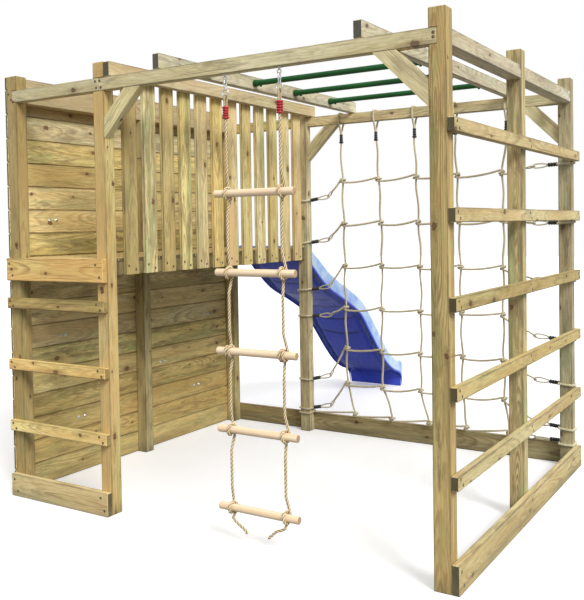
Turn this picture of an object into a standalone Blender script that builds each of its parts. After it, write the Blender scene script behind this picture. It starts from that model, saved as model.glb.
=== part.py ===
"""Play tower with slide.

A pressure-treated pine climbing frame: a boarded tower with a slat panel, a deck and a
wavy slide at the back, and a long bay with monkey bars, a rope ladder, a climbing net
and a rung ladder at its right end.

Tower coordinates start at the outer foot of the front left post: X runs along the
front, Y runs from the front to the back, and Z goes up from the ground. An empty moves
them so that the model stands centred on the origin.
"""
import math

import bmesh
import bpy
from mathutils import Matrix, Vector

# Clearances and stock, metres
GAP = 0.0003
POST = 0.070
BOARD = 0.033
EASE = 0.003

# Overall frame
FRAME_LENGTH = 2.415
FRAME_DEPTH = 2.000
TOWER_WIDTH = 0.690
POST_HEIGHT = 2.210

# Top beams and the beams laid across them
BEAM_DROP = 0.075
BEAM_HEIGHT = 0.065
BEAM_DEPTH = 0.045
END_BEAM_RISE = 0.065
CROSS_WIDTH = 0.040
CROSS_HEIGHT = 0.072
CROSS_SECOND_X = 1.000
CROSS_THIRD_INSET = 0.272

# Braces, measured from the corner of post and beam
BRACE_INNER = 0.130
BRACE_OUTER = 0.230

# Ladders of fixed boards
BASE_HEIGHT = 0.117
RUNG_HEIGHT = 0.056
RIGHT_RUNGS = 5
RIGHT_HEAD = 0.273
LEFT_RUNGS = 3
LEFT_FIRST_TOP = 0.403
LEFT_HEAD = 0.090

# Tower: wall, deck and slats
WALL_BOARD = 0.018
WALL_PITCH = 0.126
GROOVE = 0.006
DECK_TOP = 1.257
DECK_BOARD = 0.018
DECK_BOARDS = 19
DECK_JOINT = 0.005
JOIST_HEIGHT = 0.067
JOIST_WIDTH = 0.045
FASCIA_HEIGHT = 0.117
SLATS = 12
SLAT_WIDTH = 0.098
SLAT_MARGIN = 0.0648
SLAT_THICKNESS = 0.018
SLAT_FOOT = 0.069

# Monkey bars
BARS = 4
BAR_PITCH = 0.420
BAR_RADIUS = 0.015
BAR_CAP_RADIUS = 0.019
BAR_CAP_LENGTH = 0.016
BOSS_RADIUS = 0.007
BOSS_INSET = 0.042
BOSS_PROUD = 0.007

# Slide
SLIDE_SIDE_GAP = 0.0225
SLIDE_RUN = 1.700
SLIDE_HEAD = 0.100
SLIDE_RIM_RISES = (0.014, 0.026, 0.050)
SLIDE_WALL = 0.006
SLIDE_STEPS = 2

# Rope ladder
LADDER_X = 1.535
LADDER_SPAN = 0.280
LADDER_RUNGS = 5
RUNG_RADIUS = 0.017
RUNG_LENGTH = 0.410
ROPE_RADIUS = 0.007
HANGER_HEIGHT = 0.097
RING_RADIUS = 0.016
RING_WIRE = 0.003
EYE_ROPE = 0.005
EYE_SLACK = 0.0002
EYE_LENGTH = 0.044
FERRULE_RADIUS = 0.016
FERRULE_LENGTH = 0.056
LADDER_TOP_DROP = 0.521
LADDER_FOOT = 0.157
BEND_RUNG = 2

# Climbing net
NET_ROPE = 0.006
NET_COLUMNS = 5
NET_LEFT_GAP = 0.035
NET_RIGHT_GAP = 0.100
NET_HEAD = 0.385
NET_FOOT_RISE = 0.028
KNOT_RADIUS = 0.013

# Climbing holds on the outside of the wall
HOLD_DEPTH = 0.045
HOLD_LENGTH = 0.120
HOLD_HEIGHT = 0.075

# What follows from the sizes above
BEAM_TOP = POST_HEIGHT - BEAM_DROP
BEAM_BOTTOM = BEAM_TOP - BEAM_HEIGHT
CROSS_TOP = BEAM_TOP + GAP + CROSS_HEIGHT
MIDDLE_X = TOWER_WIDTH - POST
RIGHT_X = FRAME_LENGTH - POST
BACK_Y = FRAME_DEPTH - POST
MIDDLE_Y = (FRAME_DEPTH - POST) / 2
CROSS_THIRD_X = RIGHT_X - CROSS_THIRD_INSET - CROSS_WIDTH
MONKEY_LENGTH = CROSS_THIRD_X - CROSS_SECOND_X - CROSS_WIDTH
RIGHT_PITCH = (BEAM_BOTTOM - RIGHT_HEAD - BASE_HEIGHT) / RIGHT_RUNGS
LEFT_PITCH = (DECK_TOP - FASCIA_HEIGHT - LEFT_HEAD - LEFT_FIRST_TOP) / (LEFT_RUNGS - 1)
DECK_UNDER = DECK_TOP - DECK_BOARD
DECK_BACK = FRAME_DEPTH - POST / 2
SLAT_BOTTOM = DECK_UNDER - SLAT_FOOT
SLAT_BACK_X = TOWER_WIDTH - SLAT_THICKNESS
SLAT_PITCH = (BACK_Y - POST - 2 * SLAT_MARGIN - SLAT_WIDTH) / (SLATS - 1)
BEAM_MIDDLE_Y = BEAM_DEPTH / 2
NET_Y = FRAME_DEPTH - BEAM_DEPTH / 2
NET_FOOT = BASE_HEIGHT + NET_FOOT_RISE
NET_FIRST_X = TOWER_WIDTH + BRACE_OUTER + NET_LEFT_GAP
NET_LAST_X = RIGHT_X - BRACE_OUTER - NET_RIGHT_GAP
SLIDE_X = TOWER_WIDTH / 2
SLIDE_WIDTH = TOWER_WIDTH - 2 * (POST + SLIDE_SIDE_GAP)
SWING_Z = BEAM_BOTTOM - HANGER_HEIGHT
TOP_RUNG_Z = BEAM_BOTTOM - LADDER_TOP_DROP
RUNG_STEP = (TOP_RUNG_Z - LADDER_FOOT) / (LADDER_RUNGS - 1)
BEND_Z = TOP_RUNG_Z - BEND_RUNG * RUNG_STEP
FLAT = math.cos(math.pi / 6)
WRAP_STEPS = 12
WRAP_ROPE = 1.08 * ROPE_RADIUS
WRAP_RADIUS = (RUNG_RADIUS + GAP + WRAP_ROPE * FLAT) / math.cos(math.pi / WRAP_STEPS)
LOW_X = -GAP - WALL_BOARD - GAP - HOLD_DEPTH
HIGH_X = FRAME_LENGTH + GAP + BOARD
LOW_Y = -GAP - BOARD
HIGH_Y = FRAME_DEPTH + SLIDE_RUN
CENTRE = Vector(((LOW_X + HIGH_X) / 2, (LOW_Y + HIGH_Y) / 2, 0))

# Bed and rim of the slide past the deck: shares of its run and of the deck's height
SLIDE_LINE = (
    ((0.014, 0.9720), (0.040, 1.062)),
    ((0.100, 0.8700), (0.130, 0.945)),
    ((0.229, 0.7440), (0.262, 0.820)),
    ((0.400, 0.6440), (0.425, 0.720)),
    ((0.529, 0.5570), (0.560, 0.630)),
    ((0.618, 0.4420), (0.665, 0.500)),
    ((0.718, 0.3060), (0.765, 0.362)),
    ((0.812, 0.1950), (0.850, 0.255)),
    ((0.894, 0.1310), (0.918, 0.200)),
    ((0.953, 0.1030), (0.966, 0.178)),
    ((0.988, 0.0680), (0.990, 0.172)),
    ((1.000, 0.0010), (0.996, 0.168)),
)

# Half a section of the slide: distance in from the edge, and share of the way to the rim
SLIDE_SECTION = (
    (0.000, 0.80),
    (0.000, 0.97),
    (0.009, 1.03),
    (0.020, 1.03),
    (0.029, 0.97),
    (0.037, 0.50),
    (0.047, 0.16),
    (0.070, 0.02),
)

# Rows of the net as shares of the way from the first row to the bottom rope. Their ties
# at the back middle post: rises above the deck, then shares of the height of its joists
NET_ROWS = (0.0, 0.185, 0.367, 0.550, 0.725, 0.877, 1.0)
TIES_ABOVE_DECK = (0.316, 0.030)
TIES_BELOW_DECK = (0.8234, 0.6706, 0.3025)

# The ropes' tails under the last rung: steps along X and Z
LEFT_TAIL = ((0, 0), (0.004, -0.024), (0.030, -0.046), (0.062, -0.064), (0.078, -0.082))
RIGHT_TAIL = (
    (0, 0), (-0.004, -0.018), (-0.022, -0.032), (-0.048, -0.042), (-0.070, -0.060), (-0.094, -0.082)
)

# Climbing holds: distance from the wall's nearer end, and height
FRONT_HOLDS = ((0.298, 1.460), (0.347, 0.813), (0.486, 0.322))
BACK_HOLDS = ((0.782, 0.535), (0.428, 0.323), (0.305, 0.800))

PINE = (0.52, 0.41, 0.22)
PEACH = (0.74, 0.52, 0.32)
ROPE = (0.60, 0.49, 0.33)
GREEN = (0.01, 0.12, 0.03)
BLUE = (0.03, 0.05, 0.38)
ZINC = (0.60, 0.60, 0.58)
STONE = (0.40, 0.38, 0.34)


def clear_scene():
    for obj in list(bpy.data.objects):
        bpy.data.objects.remove(obj)


def collection(name):
    made = bpy.data.collections.new(name)
    bpy.context.scene.collection.children.link(made)
    return made


def marker(name, place, parent=None):
    """An empty at a place in tower coordinates, which other pieces hang from."""
    empty = bpy.data.objects.new(name, None)
    MODEL.objects.link(empty)
    empty["tower_place"] = tuple(place)
    empty.parent = parent
    empty.location = Vector(place) - (Vector(parent["tower_place"]) if parent else CENTRE)
    return empty


def finish(obj, colour, roughness, metallic=0.0):
    material = bpy.data.materials.new(obj.name + "_finish")
    material.use_nodes = True
    shader = material.node_tree.nodes["Principled BSDF"]
    shader.inputs["Base Color"].default_value = (*colour, 1)
    shader.inputs["Roughness"].default_value = roughness
    shader.inputs["Metallic"].default_value = metallic
    obj.data.materials.clear()
    obj.data.materials.append(material)


def add(name, mesh, place=(0, 0, 0), parent=None):
    """Put a mesh into the model with its own origin at a place in tower coordinates."""
    obj = bpy.data.objects.new(name, mesh)
    MODEL.objects.link(obj)
    obj.parent = parent or TOWER
    obj.location = Vector(place) - Vector(obj.parent["tower_place"])
    return obj


def helper(name, mesh, place=(0, 0, 0), parent=None):
    """A cutter or a joined part: shown as wires and left out of the model."""
    obj = add(name, mesh, place, parent)
    MODEL.objects.unlink(obj)
    CUTTERS.objects.link(obj)
    obj.hide_render = True
    obj.display_type = "WIRE"
    return obj


def to_mesh(name, build):
    mesh = bpy.data.meshes.new(name)
    work = bmesh.new()
    build(work)
    work.to_mesh(mesh)
    work.free()
    return mesh


def add_box(work, low, high):
    """A box between two corners, added to a mesh under construction."""
    low, high = Vector(low), Vector(high)
    size = high - low
    turn = Matrix.Translation((low + high) / 2) @ Matrix.Diagonal((*size, 1))
    bmesh.ops.create_cube(work, size=1, matrix=turn)


def box_mesh(name, low, high):
    """A box whose own origin is its centre. Returns the mesh and the centre."""
    low, high = Vector(low), Vector(high)
    half = (high - low) / 2
    return to_mesh(name, lambda work: add_box(work, -half, half)), (low + high) / 2


def boolean(obj, other, operation):
    step = obj.modifiers.new(other.name, "BOOLEAN")
    step.operation = operation
    step.solver = "EXACT"
    step.object = other


def cut_box(obj, low, high):
    mesh, centre = box_mesh(obj.name + "_notch", low, high)
    boolean(obj, helper(mesh.name, mesh, centre), "DIFFERENCE")


def timber(name, low, high, colour=PINE, ease=EASE):
    """One planed length of timber with eased edges."""
    mesh, centre = box_mesh(name, low, high)
    obj = add(name, mesh, centre)
    edge = obj.modifiers.new("eased_edges", "BEVEL")
    edge.width = ease
    edge.segments = 1
    finish(obj, colour, 0.75)
    return obj


def smooth_line(points, steps):
    """Points on a smooth curve through the given ones, with steps to each stretch."""
    points = [Vector(point) for point in points]
    padded = [2 * points[0] - points[1], *points, 2 * points[-1] - points[-2]]
    line = []
    for a, b, c, d in zip(padded, padded[1:], padded[2:], padded[3:]):
        for step in range(steps):
            t = step / steps
            line.append(
                b + 0.5 * t * (c - a + t * (2 * a - 5 * b + 4 * c - d + t * (3 * (b - c) + d - a)))
            )
    return line + [points[-1]]


def tube_mesh(name, lines, radius, closed=False):
    """Six-sided tubes along lines of points, with filled ends where a line is open."""
    curve = bpy.data.curves.new(name, "CURVE")
    curve.dimensions = "3D"
    curve.bevel_depth = radius
    curve.bevel_resolution = 1
    curve.use_fill_caps = not closed
    for line in lines:
        spline = curve.splines.new("POLY")
        spline.points.add(len(line) - 1)
        spline.use_cyclic_u = closed
        for point, place in zip(spline.points, line):
            point.co = (*place, 1)
    guide = bpy.data.objects.new(name, curve)
    CUTTERS.objects.link(guide)
    graph = bpy.context.evaluated_depsgraph_get()
    mesh = bpy.data.meshes.new_from_object(guide.evaluated_get(graph))
    bpy.data.objects.remove(guide)
    work = bmesh.new()
    work.from_mesh(mesh)
    bmesh.ops.remove_doubles(work, verts=work.verts, dist=0.00001)
    bmesh.ops.recalc_face_normals(work, faces=work.faces)
    work.to_mesh(mesh)
    work.free()
    mesh.name = name
    return mesh


def add_cylinder(work, centre, axis, radius, length, sides):
    turn = Matrix.Translation(centre) @ Vector(axis).to_track_quat("Z", "Y").to_matrix().to_4x4()
    bmesh.ops.create_cone(
        work, cap_ends=True, segments=sides, radius1=radius, radius2=radius, depth=length, matrix=turn
    )


def turned_mesh(name, profile, sides):
    """A turned shape about Z from a profile that runs down its outer side."""
    mesh = bpy.data.meshes.new(name)
    edges = [(i, i + 1) for i in range(len(profile) - 1)]
    mesh.from_pydata([(radius, 0, z) for radius, z in profile], edges, [])
    guide = bpy.data.objects.new(name, mesh)
    CUTTERS.objects.link(guide)
    screw = guide.modifiers.new("turned", "SCREW")
    screw.steps = sides
    screw.render_steps = sides
    screw.use_merge_vertices = True
    screw.merge_threshold = 0.00001
    graph = bpy.context.evaluated_depsgraph_get()
    turned = bpy.data.meshes.new_from_object(guide.evaluated_get(graph))
    bpy.data.objects.remove(guide)
    turned.name = name
    turned.shade_smooth()
    turned.set_sharp_from_angle(angle=math.radians(35))
    return turned


def make_posts():
    """Eight square posts, notched where the front and back beams are let in."""
    places = {
        "post_front_left": (0, 0, POST_HEIGHT),
        "post_front_middle": (MIDDLE_X, 0, POST_HEIGHT),
        "post_front_right": (RIGHT_X, 0, POST_HEIGHT),
        "post_right_middle": (RIGHT_X, MIDDLE_Y, POST_HEIGHT),
        "post_back_right": (RIGHT_X, BACK_Y, POST_HEIGHT),
        "post_back_middle": (MIDDLE_X, BACK_Y, POST_HEIGHT),
        "post_back_left": (0, BACK_Y, POST_HEIGHT),
        "post_left_middle": (0, MIDDLE_Y, BEAM_BOTTOM - GAP),
    }
    for name, (x, y, height) in places.items():
        post = timber(name, (x, y, 0), (x + POST, y + POST, height))
        if y == MIDDLE_Y:
            continue
        notch_low_x = x + POST / 2 if x == 0 else x - GAP
        notch_high_x = x + POST / 2 if x == RIGHT_X else x + POST + GAP
        if y == 0:
            notch_y = (-POST, BEAM_DEPTH + GAP)
        else:
            notch_y = (FRAME_DEPTH - BEAM_DEPTH - GAP, FRAME_DEPTH + POST)
        cut_box(
            post,
            (notch_low_x, notch_y[0], BEAM_BOTTOM - GAP),
            (notch_high_x, notch_y[1], BEAM_TOP + GAP),
        )


def make_beams():
    """Front and back beams butt on the middle posts, and cross beams lie on them."""
    joint_x = MIDDLE_X + POST / 2
    ends = {
        "left": (POST / 2 + GAP, joint_x - GAP),
        "right": (joint_x + GAP, RIGHT_X + POST / 2 - GAP),
    }
    for side, (low_x, high_x) in ends.items():
        timber("front_beam_" + side, (low_x, 0, BEAM_BOTTOM), (high_x, BEAM_DEPTH, BEAM_TOP))
        timber(
            "back_beam_" + side,
            (low_x, FRAME_DEPTH - BEAM_DEPTH, BEAM_BOTTOM),
            (high_x, FRAME_DEPTH, BEAM_TOP),
        )
    for number, x in enumerate((TOWER_WIDTH + GAP, CROSS_SECOND_X, CROSS_THIRD_X), 1):
        timber(
            f"cross_beam_{number}",
            (x, 0, BEAM_TOP + GAP),
            (x + CROSS_WIDTH, FRAME_DEPTH, CROSS_TOP),
        )
    timber(
        "left_top_beam",
        (0, POST + GAP, BEAM_BOTTOM),
        (POST, BACK_Y - GAP, BEAM_TOP + END_BEAM_RISE),
    )
    timber(
        "right_end_beam_front",
        (RIGHT_X, POST + GAP, BEAM_BOTTOM),
        (FRAME_LENGTH, MIDDLE_Y - GAP, BEAM_TOP),
    )
    timber(
        "right_end_beam_back",
        (RIGHT_X, MIDDLE_Y + POST + GAP, BEAM_BOTTOM),
        (FRAME_LENGTH, BACK_Y - GAP, BEAM_TOP),
    )


def make_brace(name, corner_x, side, low_y):
    """A knee brace with mitred ends, cut from a flat outline. side is 1 or -1 along X."""
    outline = (
        (GAP, -BRACE_OUTER),
        (GAP, -BRACE_INNER),
        (BRACE_INNER, -GAP),
        (BRACE_OUTER, -GAP),
    )
    curve = bpy.data.curves.new(name, "CURVE")
    curve.dimensions = "2D"
    curve.fill_mode = "BOTH"
    curve.extrude = BEAM_DEPTH / 2
    spline = curve.splines.new("POLY")
    spline.points.add(len(outline) - 1)
    spline.use_cyclic_u = True
    for point, (x, z) in zip(spline.points, outline):
        point.co = (side * x, z, 0, 1)
    brace = add(name, curve, (corner_x, low_y + BEAM_DEPTH / 2, BEAM_BOTTOM))
    brace.rotation_euler = (math.radians(90), 0, 0)
    finish(brace, PINE, 0.75)


def make_braces():
    back_low_y = FRAME_DEPTH - BEAM_DEPTH
    make_brace("brace_front_middle", TOWER_WIDTH, 1, 0)
    make_brace("brace_front_right", RIGHT_X, -1, 0)
    make_brace("brace_back_middle", TOWER_WIDTH, 1, back_low_y)
    make_brace("brace_back_right", RIGHT_X, -1, back_low_y)


def right_rung_top(number):
    return BASE_HEIGHT + number * RIGHT_PITCH


def make_board_ladders():
    """Boards across the front of the tower and across the right end."""
    front = (-GAP - BOARD, -GAP)
    timber("left_base_board", (0, front[0], 0), (TOWER_WIDTH, front[1], BASE_HEIGHT))
    for number in range(LEFT_RUNGS):
        top = LEFT_FIRST_TOP + number * LEFT_PITCH
        timber(
            f"left_rung_{number + 1}",
            (0, front[0], top - RUNG_HEIGHT),
            (TOWER_WIDTH, front[1], top),
        )
    timber(
        "deck_fascia",
        (0, front[0], DECK_TOP - FASCIA_HEIGHT),
        (TOWER_WIDTH, front[1], DECK_TOP),
    )
    right = (FRAME_LENGTH + GAP, FRAME_LENGTH + GAP + BOARD)
    timber("right_base_board", (right[0], 0, 0), (right[1], FRAME_DEPTH, BASE_HEIGHT))
    for number in range(1, RIGHT_RUNGS + 1):
        top = right_rung_top(number)
        timber(
            f"right_rung_{number}",
            (right[0], 0, top - RUNG_HEIGHT),
            (right[1], FRAME_DEPTH, top),
        )
    timber(
        "back_base_board",
        (0, FRAME_DEPTH + GAP, 0),
        (FRAME_LENGTH, FRAME_DEPTH + GAP + BOARD, BASE_HEIGHT),
    )


def make_wall():
    """Tongued boards stand as one wall, with a V groove on both faces at each joint."""
    joints = [number * WALL_PITCH for number in range(1, int(POST_HEIGHT / WALL_PITCH) + 1)]
    half = WALL_BOARD / 2
    outer, inner = [], []
    for z in joints:
        outer += [(-half, z - GROOVE / 2), (-half + GROOVE / 2, z), (-half, z + GROOVE / 2)]
        inner += [(half, z - GROOVE / 2), (half - GROOVE / 2, z), (half, z + GROOVE / 2)]
    outline = [(half, 0), *inner, (half, POST_HEIGHT)]
    outline += [(-half, POST_HEIGHT), *reversed(outer), (-half, 0)]
    curve = bpy.data.curves.new("wall_boards", "CURVE")
    curve.dimensions = "2D"
    curve.fill_mode = "BOTH"
    curve.extrude = FRAME_DEPTH / 2
    spline = curve.splines.new("POLY")
    spline.points.add(len(outline) - 1)
    spline.use_cyclic_u = True
    for point, (x, z) in zip(spline.points, outline):
        point.co = (x, z, 0, 1)
    wall = add("wall_boards", curve, (-GAP - half, FRAME_DEPTH / 2, 0))
    wall.rotation_euler = (math.radians(90), 0, 0)
    finish(wall, PINE, 0.75)


def make_deck():
    """Deck boards with open joints on a wall ledger, a middle joist and a back rim."""
    inset, bite = 0.004, 0.002
    front, back = POST + inset, BACK_Y - inset
    low_z = DECK_UNDER - JOIST_HEIGHT
    middle_x = TOWER_WIDTH / 2

    def joists(work):
        add_box(work, (inset, front, low_z), (JOIST_WIDTH, back, DECK_UNDER + bite))
        add_box(
            work,
            (middle_x - JOIST_WIDTH / 2, front, low_z),
            (middle_x + JOIST_WIDTH / 2, BACK_Y - JOIST_WIDTH / 2, DECK_UNDER + bite),
        )

    def boards(work):
        pitch = DECK_BACK / DECK_BOARDS
        for number in range(DECK_BOARDS):
            low_y = number * pitch + DECK_JOINT / 2
            add_box(
                work,
                (GAP, low_y, DECK_UNDER),
                (SLAT_BACK_X - GAP, low_y + pitch - DECK_JOINT, DECK_TOP),
            )

    def rim(work):
        add_box(
            work,
            (inset + bite, BACK_Y - JOIST_WIDTH, low_z + bite),
            (MIDDLE_X - inset, DECK_BACK - inset, DECK_UNDER + 2 * bite),
        )

    deck = add("deck", to_mesh("deck", joists))
    boolean(deck, helper("deck_rim", to_mesh("deck_rim", rim)), "UNION")
    boolean(deck, helper("deck_boards", to_mesh("deck_boards", boards)), "UNION")
    for x, y in ((0, 0), (MIDDLE_X, 0), (0, MIDDLE_Y), (0, BACK_Y), (MIDDLE_X, BACK_Y)):
        cut_box(
            deck,
            (x - GAP, y - GAP, DECK_UNDER - 2 * JOIST_HEIGHT),
            (x + POST + GAP, y + POST + GAP, DECK_TOP + JOIST_HEIGHT),
        )
    finish(deck, PINE, 0.75)


def make_slat_panel():
    """Twelve slats behind the first cross beam, carried by the joist at their feet."""
    bite = 0.001
    low = (SLAT_BACK_X - JOIST_WIDTH, POST + GAP, SLAT_BOTTOM + 2 * bite)
    high = (SLAT_BACK_X + bite, BACK_Y - GAP, DECK_UNDER - 2 * GAP)
    mesh = to_mesh("slat_panel", lambda work: add_box(work, low, high))
    panel = add("slat_panel", mesh)

    def slats(work):
        for number in range(SLATS):
            low_y = POST + SLAT_MARGIN + number * SLAT_PITCH
            add_box(
                work,
                (SLAT_BACK_X, low_y, SLAT_BOTTOM),
                (TOWER_WIDTH, low_y + SLAT_WIDTH, CROSS_TOP - bite),
            )

    boolean(panel, helper("slats", to_mesh("slats", slats)), "UNION")
    finish(panel, PINE, 0.75)


def make_monkey_bars():
    """Steel bars with a domed cap against each beam and a screw boss underneath."""
    length = MONKEY_LENGTH - 2 * GAP
    half = length / 2
    cap = [(BAR_CAP_RADIUS * 0.72, half), (BAR_CAP_RADIUS, half - 0.004)]
    step = BAR_CAP_RADIUS - BAR_RADIUS
    for angle in (0, math.radians(45), math.radians(90)):
        radius = BAR_RADIUS + step * math.cos(angle)
        cap.append((radius, half - 0.010 - BAR_CAP_LENGTH * math.sin(angle)))
    profile = [(0, half), *cap, *[(radius, -z) for radius, z in reversed(cap)], (0, -half)]
    height = BEAM_TOP + GAP + CROSS_HEIGHT / 2
    first_y = FRAME_DEPTH / 2 - BAR_PITCH * (BARS - 1) / 2

    def bosses(work):
        for end in (-1, 1):
            add_cylinder(
                work,
                (end * (half - BOSS_INSET), 0, -(BAR_RADIUS + BOSS_PROUD) / 2),
                (0, 0, 1),
                BOSS_RADIUS,
                BAR_RADIUS + BOSS_PROUD,
                10,
            )

    for number in range(BARS):
        name = f"monkey_bar_{number + 1}"
        mesh = turned_mesh(name, profile, 12)
        mesh.transform(Matrix.Rotation(math.radians(90), 4, "Y"))
        centre = (CROSS_SECOND_X + CROSS_WIDTH + GAP + half, first_y + number * BAR_PITCH, height)
        bar = add(name, mesh, centre)
        boolean(bar, helper(name + "_bosses", to_mesh(name + "_bosses", bosses), centre), "UNION")
        finish(bar, GREEN, 0.35)


def make_slide():
    """A wavy slide: half a channel lofted from bed to rim, mirrored, with a real wall."""
    run = SLIDE_RUN - SLIDE_WALL
    head = [DECK_BACK - SLIDE_HEAD, DECK_BACK - SLIDE_HEAD / 3, DECK_BACK + 0.004]

    def line(side, rises):
        points = [(0, y, DECK_TOP + rise) for y, rise in zip(head, rises)]
        points += [(0, FRAME_DEPTH + pair[side][0] * run, DECK_TOP * pair[side][1]) for pair in SLIDE_LINE]
        return smooth_line([Vector(point) + Vector((0, 0, GAP)) for point in points], SLIDE_STEPS)

    beds = line(0, (0, 0, 0))
    rims = line(1, SLIDE_RIM_RISES)
    edge = SLIDE_WIDTH / 2 - SLIDE_WALL
    across = [(edge - inset, share) for inset, share in SLIDE_SECTION] + [(0.0, 0.0)]
    mesh = bpy.data.meshes.new("slide")
    work = bmesh.new()
    bmesh.ops.create_grid(work, x_segments=len(across) - 1, y_segments=len(beds) - 1, size=1)
    for vert in work.verts:
        column = round((vert.co.x + 1) / 2 * (len(across) - 1))
        row = round((vert.co.y + 1) / 2 * (len(beds) - 1))
        x, share = across[column]
        bed, rim = beds[row], rims[row]
        vert.co = Vector((x, bed.y, bed.z)) + share * (rim - bed)
    # The wall grows against the normals, so the bed's have to point down.
    work.normal_update()
    if sum(face.normal.z * face.calc_area() for face in work.faces) > 0:
        bmesh.ops.reverse_faces(work, faces=work.faces)
    work.to_mesh(mesh)
    work.free()
    slide = add("slide", mesh, (SLIDE_X, 0, 0))
    mirror = slide.modifiers.new("other_half", "MIRROR")
    mirror.use_clip = True
    mirror.merge_threshold = 0.00005
    shell = slide.modifiers.new("wall", "SOLIDIFY")
    shell.thickness = SLIDE_WALL
    shell.offset = -1
    mesh.shade_smooth()
    finish(slide, BLUE, 0.3)


def ring(centre, radius, plane, sides, stretch=1.0):
    """Points of a ring in the YZ or the XZ plane."""
    points = []
    for step in range(sides):
        angle = 2 * math.pi * step / sides
        across, up = radius * math.cos(angle), stretch * radius * math.sin(angle)
        points.append(centre + (Vector((0, across, up)) if plane == "YZ" else Vector((across, 0, up))))
    return points


def make_hanger(name, x):
    """A screw eye under the front beam with a link and a ring, which hang in line."""
    top = BEAM_BOTTOM - GAP
    ring_centre = Vector((0, 0, SWING_Z + RING_RADIUS))
    ring_top = SWING_Z + 2 * RING_RADIUS
    eye_radius = 0.009
    eye_centre = Vector((0, 0, top - 0.010 - eye_radius))
    eye_bottom = eye_centre.z - eye_radius
    link_half = (eye_bottom - ring_top) / 2 + 0.004
    link_centre = Vector((0, 0, (eye_bottom + ring_top) / 2))
    place = (x, BEAM_MIDDLE_Y, 0)

    def plate(work):
        add_cylinder(work, (0, 0, top - 0.0015), (0, 0, 1), 0.014, 0.003, 16)

    def shank(work):
        add_cylinder(work, (0, 0, top - 0.0070), (0, 0, 1), 0.0045, 0.010, 10)

    mesh = tube_mesh(name, [ring(ring_centre, RING_RADIUS, "XZ", 14)], RING_WIRE, closed=True)
    hanger = add(name, mesh, place)
    link_line = ring(link_centre, 0.008, "YZ", 12, link_half / 0.008)
    eye_line = ring(eye_centre, eye_radius, "XZ", 10)
    for joined in (
        tube_mesh(name + "_link", [link_line], 0.0025, closed=True),
        tube_mesh(name + "_eye", [eye_line], 0.0028, closed=True),
        to_mesh(name + "_plate", plate),
        to_mesh(name + "_shank", shank),
    ):
        boolean(hanger, helper(joined.name, joined, place), "UNION")
    finish(hanger, ZINC, 0.35, 1.0)


def rung_z(number):
    return TOP_RUNG_Z - number * RUNG_STEP


def add_rung_wraps(rope, numbers, place, parent):
    """Rings of rope round rungs, wide enough for each rung to pass through."""
    rings = [ring(Vector((0, 0, rung_z(number))), WRAP_RADIUS, "YZ", WRAP_STEPS) for number in numbers]
    join_rope(rope, rope.name + "_wraps", rings, WRAP_ROPE, place, parent, closed=True)


def join_rope(rope, name, lines, radius, place, parent, closed=False):
    mesh = tube_mesh(name, lines, radius, closed=closed)
    boolean(rope, helper(name, mesh, place, parent), "UNION")


def make_upper_rope(name, x, parent):
    """From the hanger's ring to the bend rung: eye, ferrule, rope and rung wraps."""
    place = (x, BEAM_MIDDLE_Y, 0)
    eye_radius = RING_WIRE + EYE_SLACK + EYE_ROPE
    ferrule_top = SWING_Z - EYE_LENGTH
    lines = [[(0, 0, ferrule_top - 0.010), (0, 0, rung_z(0) + WRAP_RADIUS)]]
    for number in range(BEND_RUNG):
        lines.append([(0, 0, rung_z(number) - WRAP_RADIUS), (0, 0, rung_z(number + 1) + WRAP_RADIUS)])
    rope = add(name, tube_mesh(name, lines, ROPE_RADIUS), place, parent)
    angles = [math.pi * step / 6 for step in range(7)]
    arc = [Vector((0, math.cos(angle), math.sin(angle))) * eye_radius for angle in angles]
    eye = [point + Vector((0, 0, SWING_Z)) for point in arc]
    foot = ferrule_top - 0.006
    eye = [Vector((0, eye_radius, foot)), *eye, Vector((0, -eye_radius, foot))]
    middle, half = ferrule_top - FERRULE_LENGTH / 2, FERRULE_LENGTH / 2
    upper = [(0, half), (FERRULE_RADIUS * 0.86, half), (FERRULE_RADIUS, half - 0.004)]
    lower = [(radius, -z) for radius, z in reversed(upper)]
    profile = [(radius, middle + z) for radius, z in upper + lower]
    ferrule = turned_mesh(name + "_ferrule", profile, 12)
    boolean(rope, helper(ferrule.name, ferrule, place, parent), "UNION")
    join_rope(rope, name + "_eye", [eye], EYE_ROPE, place, parent)
    add_rung_wraps(rope, range(BEND_RUNG + 1), place, parent)
    finish(rope, ROPE, 0.9)


def make_lower_rope(name, x, tail, parent):
    """From under the bend rung to the tail that hangs past the last rung."""
    place = (x, BEAM_MIDDLE_Y, 0)
    top = BEND_Z - WRAP_RADIUS - WRAP_ROPE * FLAT / math.cos(math.pi / WRAP_STEPS) - GAP
    lines = []
    for number in range(BEND_RUNG + 1, LADDER_RUNGS):
        lines.append([(0, 0, top), (0, 0, rung_z(number) + WRAP_RADIUS)])
        top = rung_z(number) - WRAP_RADIUS
    rope = add(name, tube_mesh(name, lines, ROPE_RADIUS), place, parent)
    add_rung_wraps(rope, range(BEND_RUNG + 1, LADDER_RUNGS), place, parent)
    tail_line = smooth_line([(across, 0, top + down) for across, down in tail], 2)
    join_rope(rope, name + "_tail", [tail_line], ROPE_RADIUS, place, parent)
    finish(rope, ROPE, 0.9)


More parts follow.
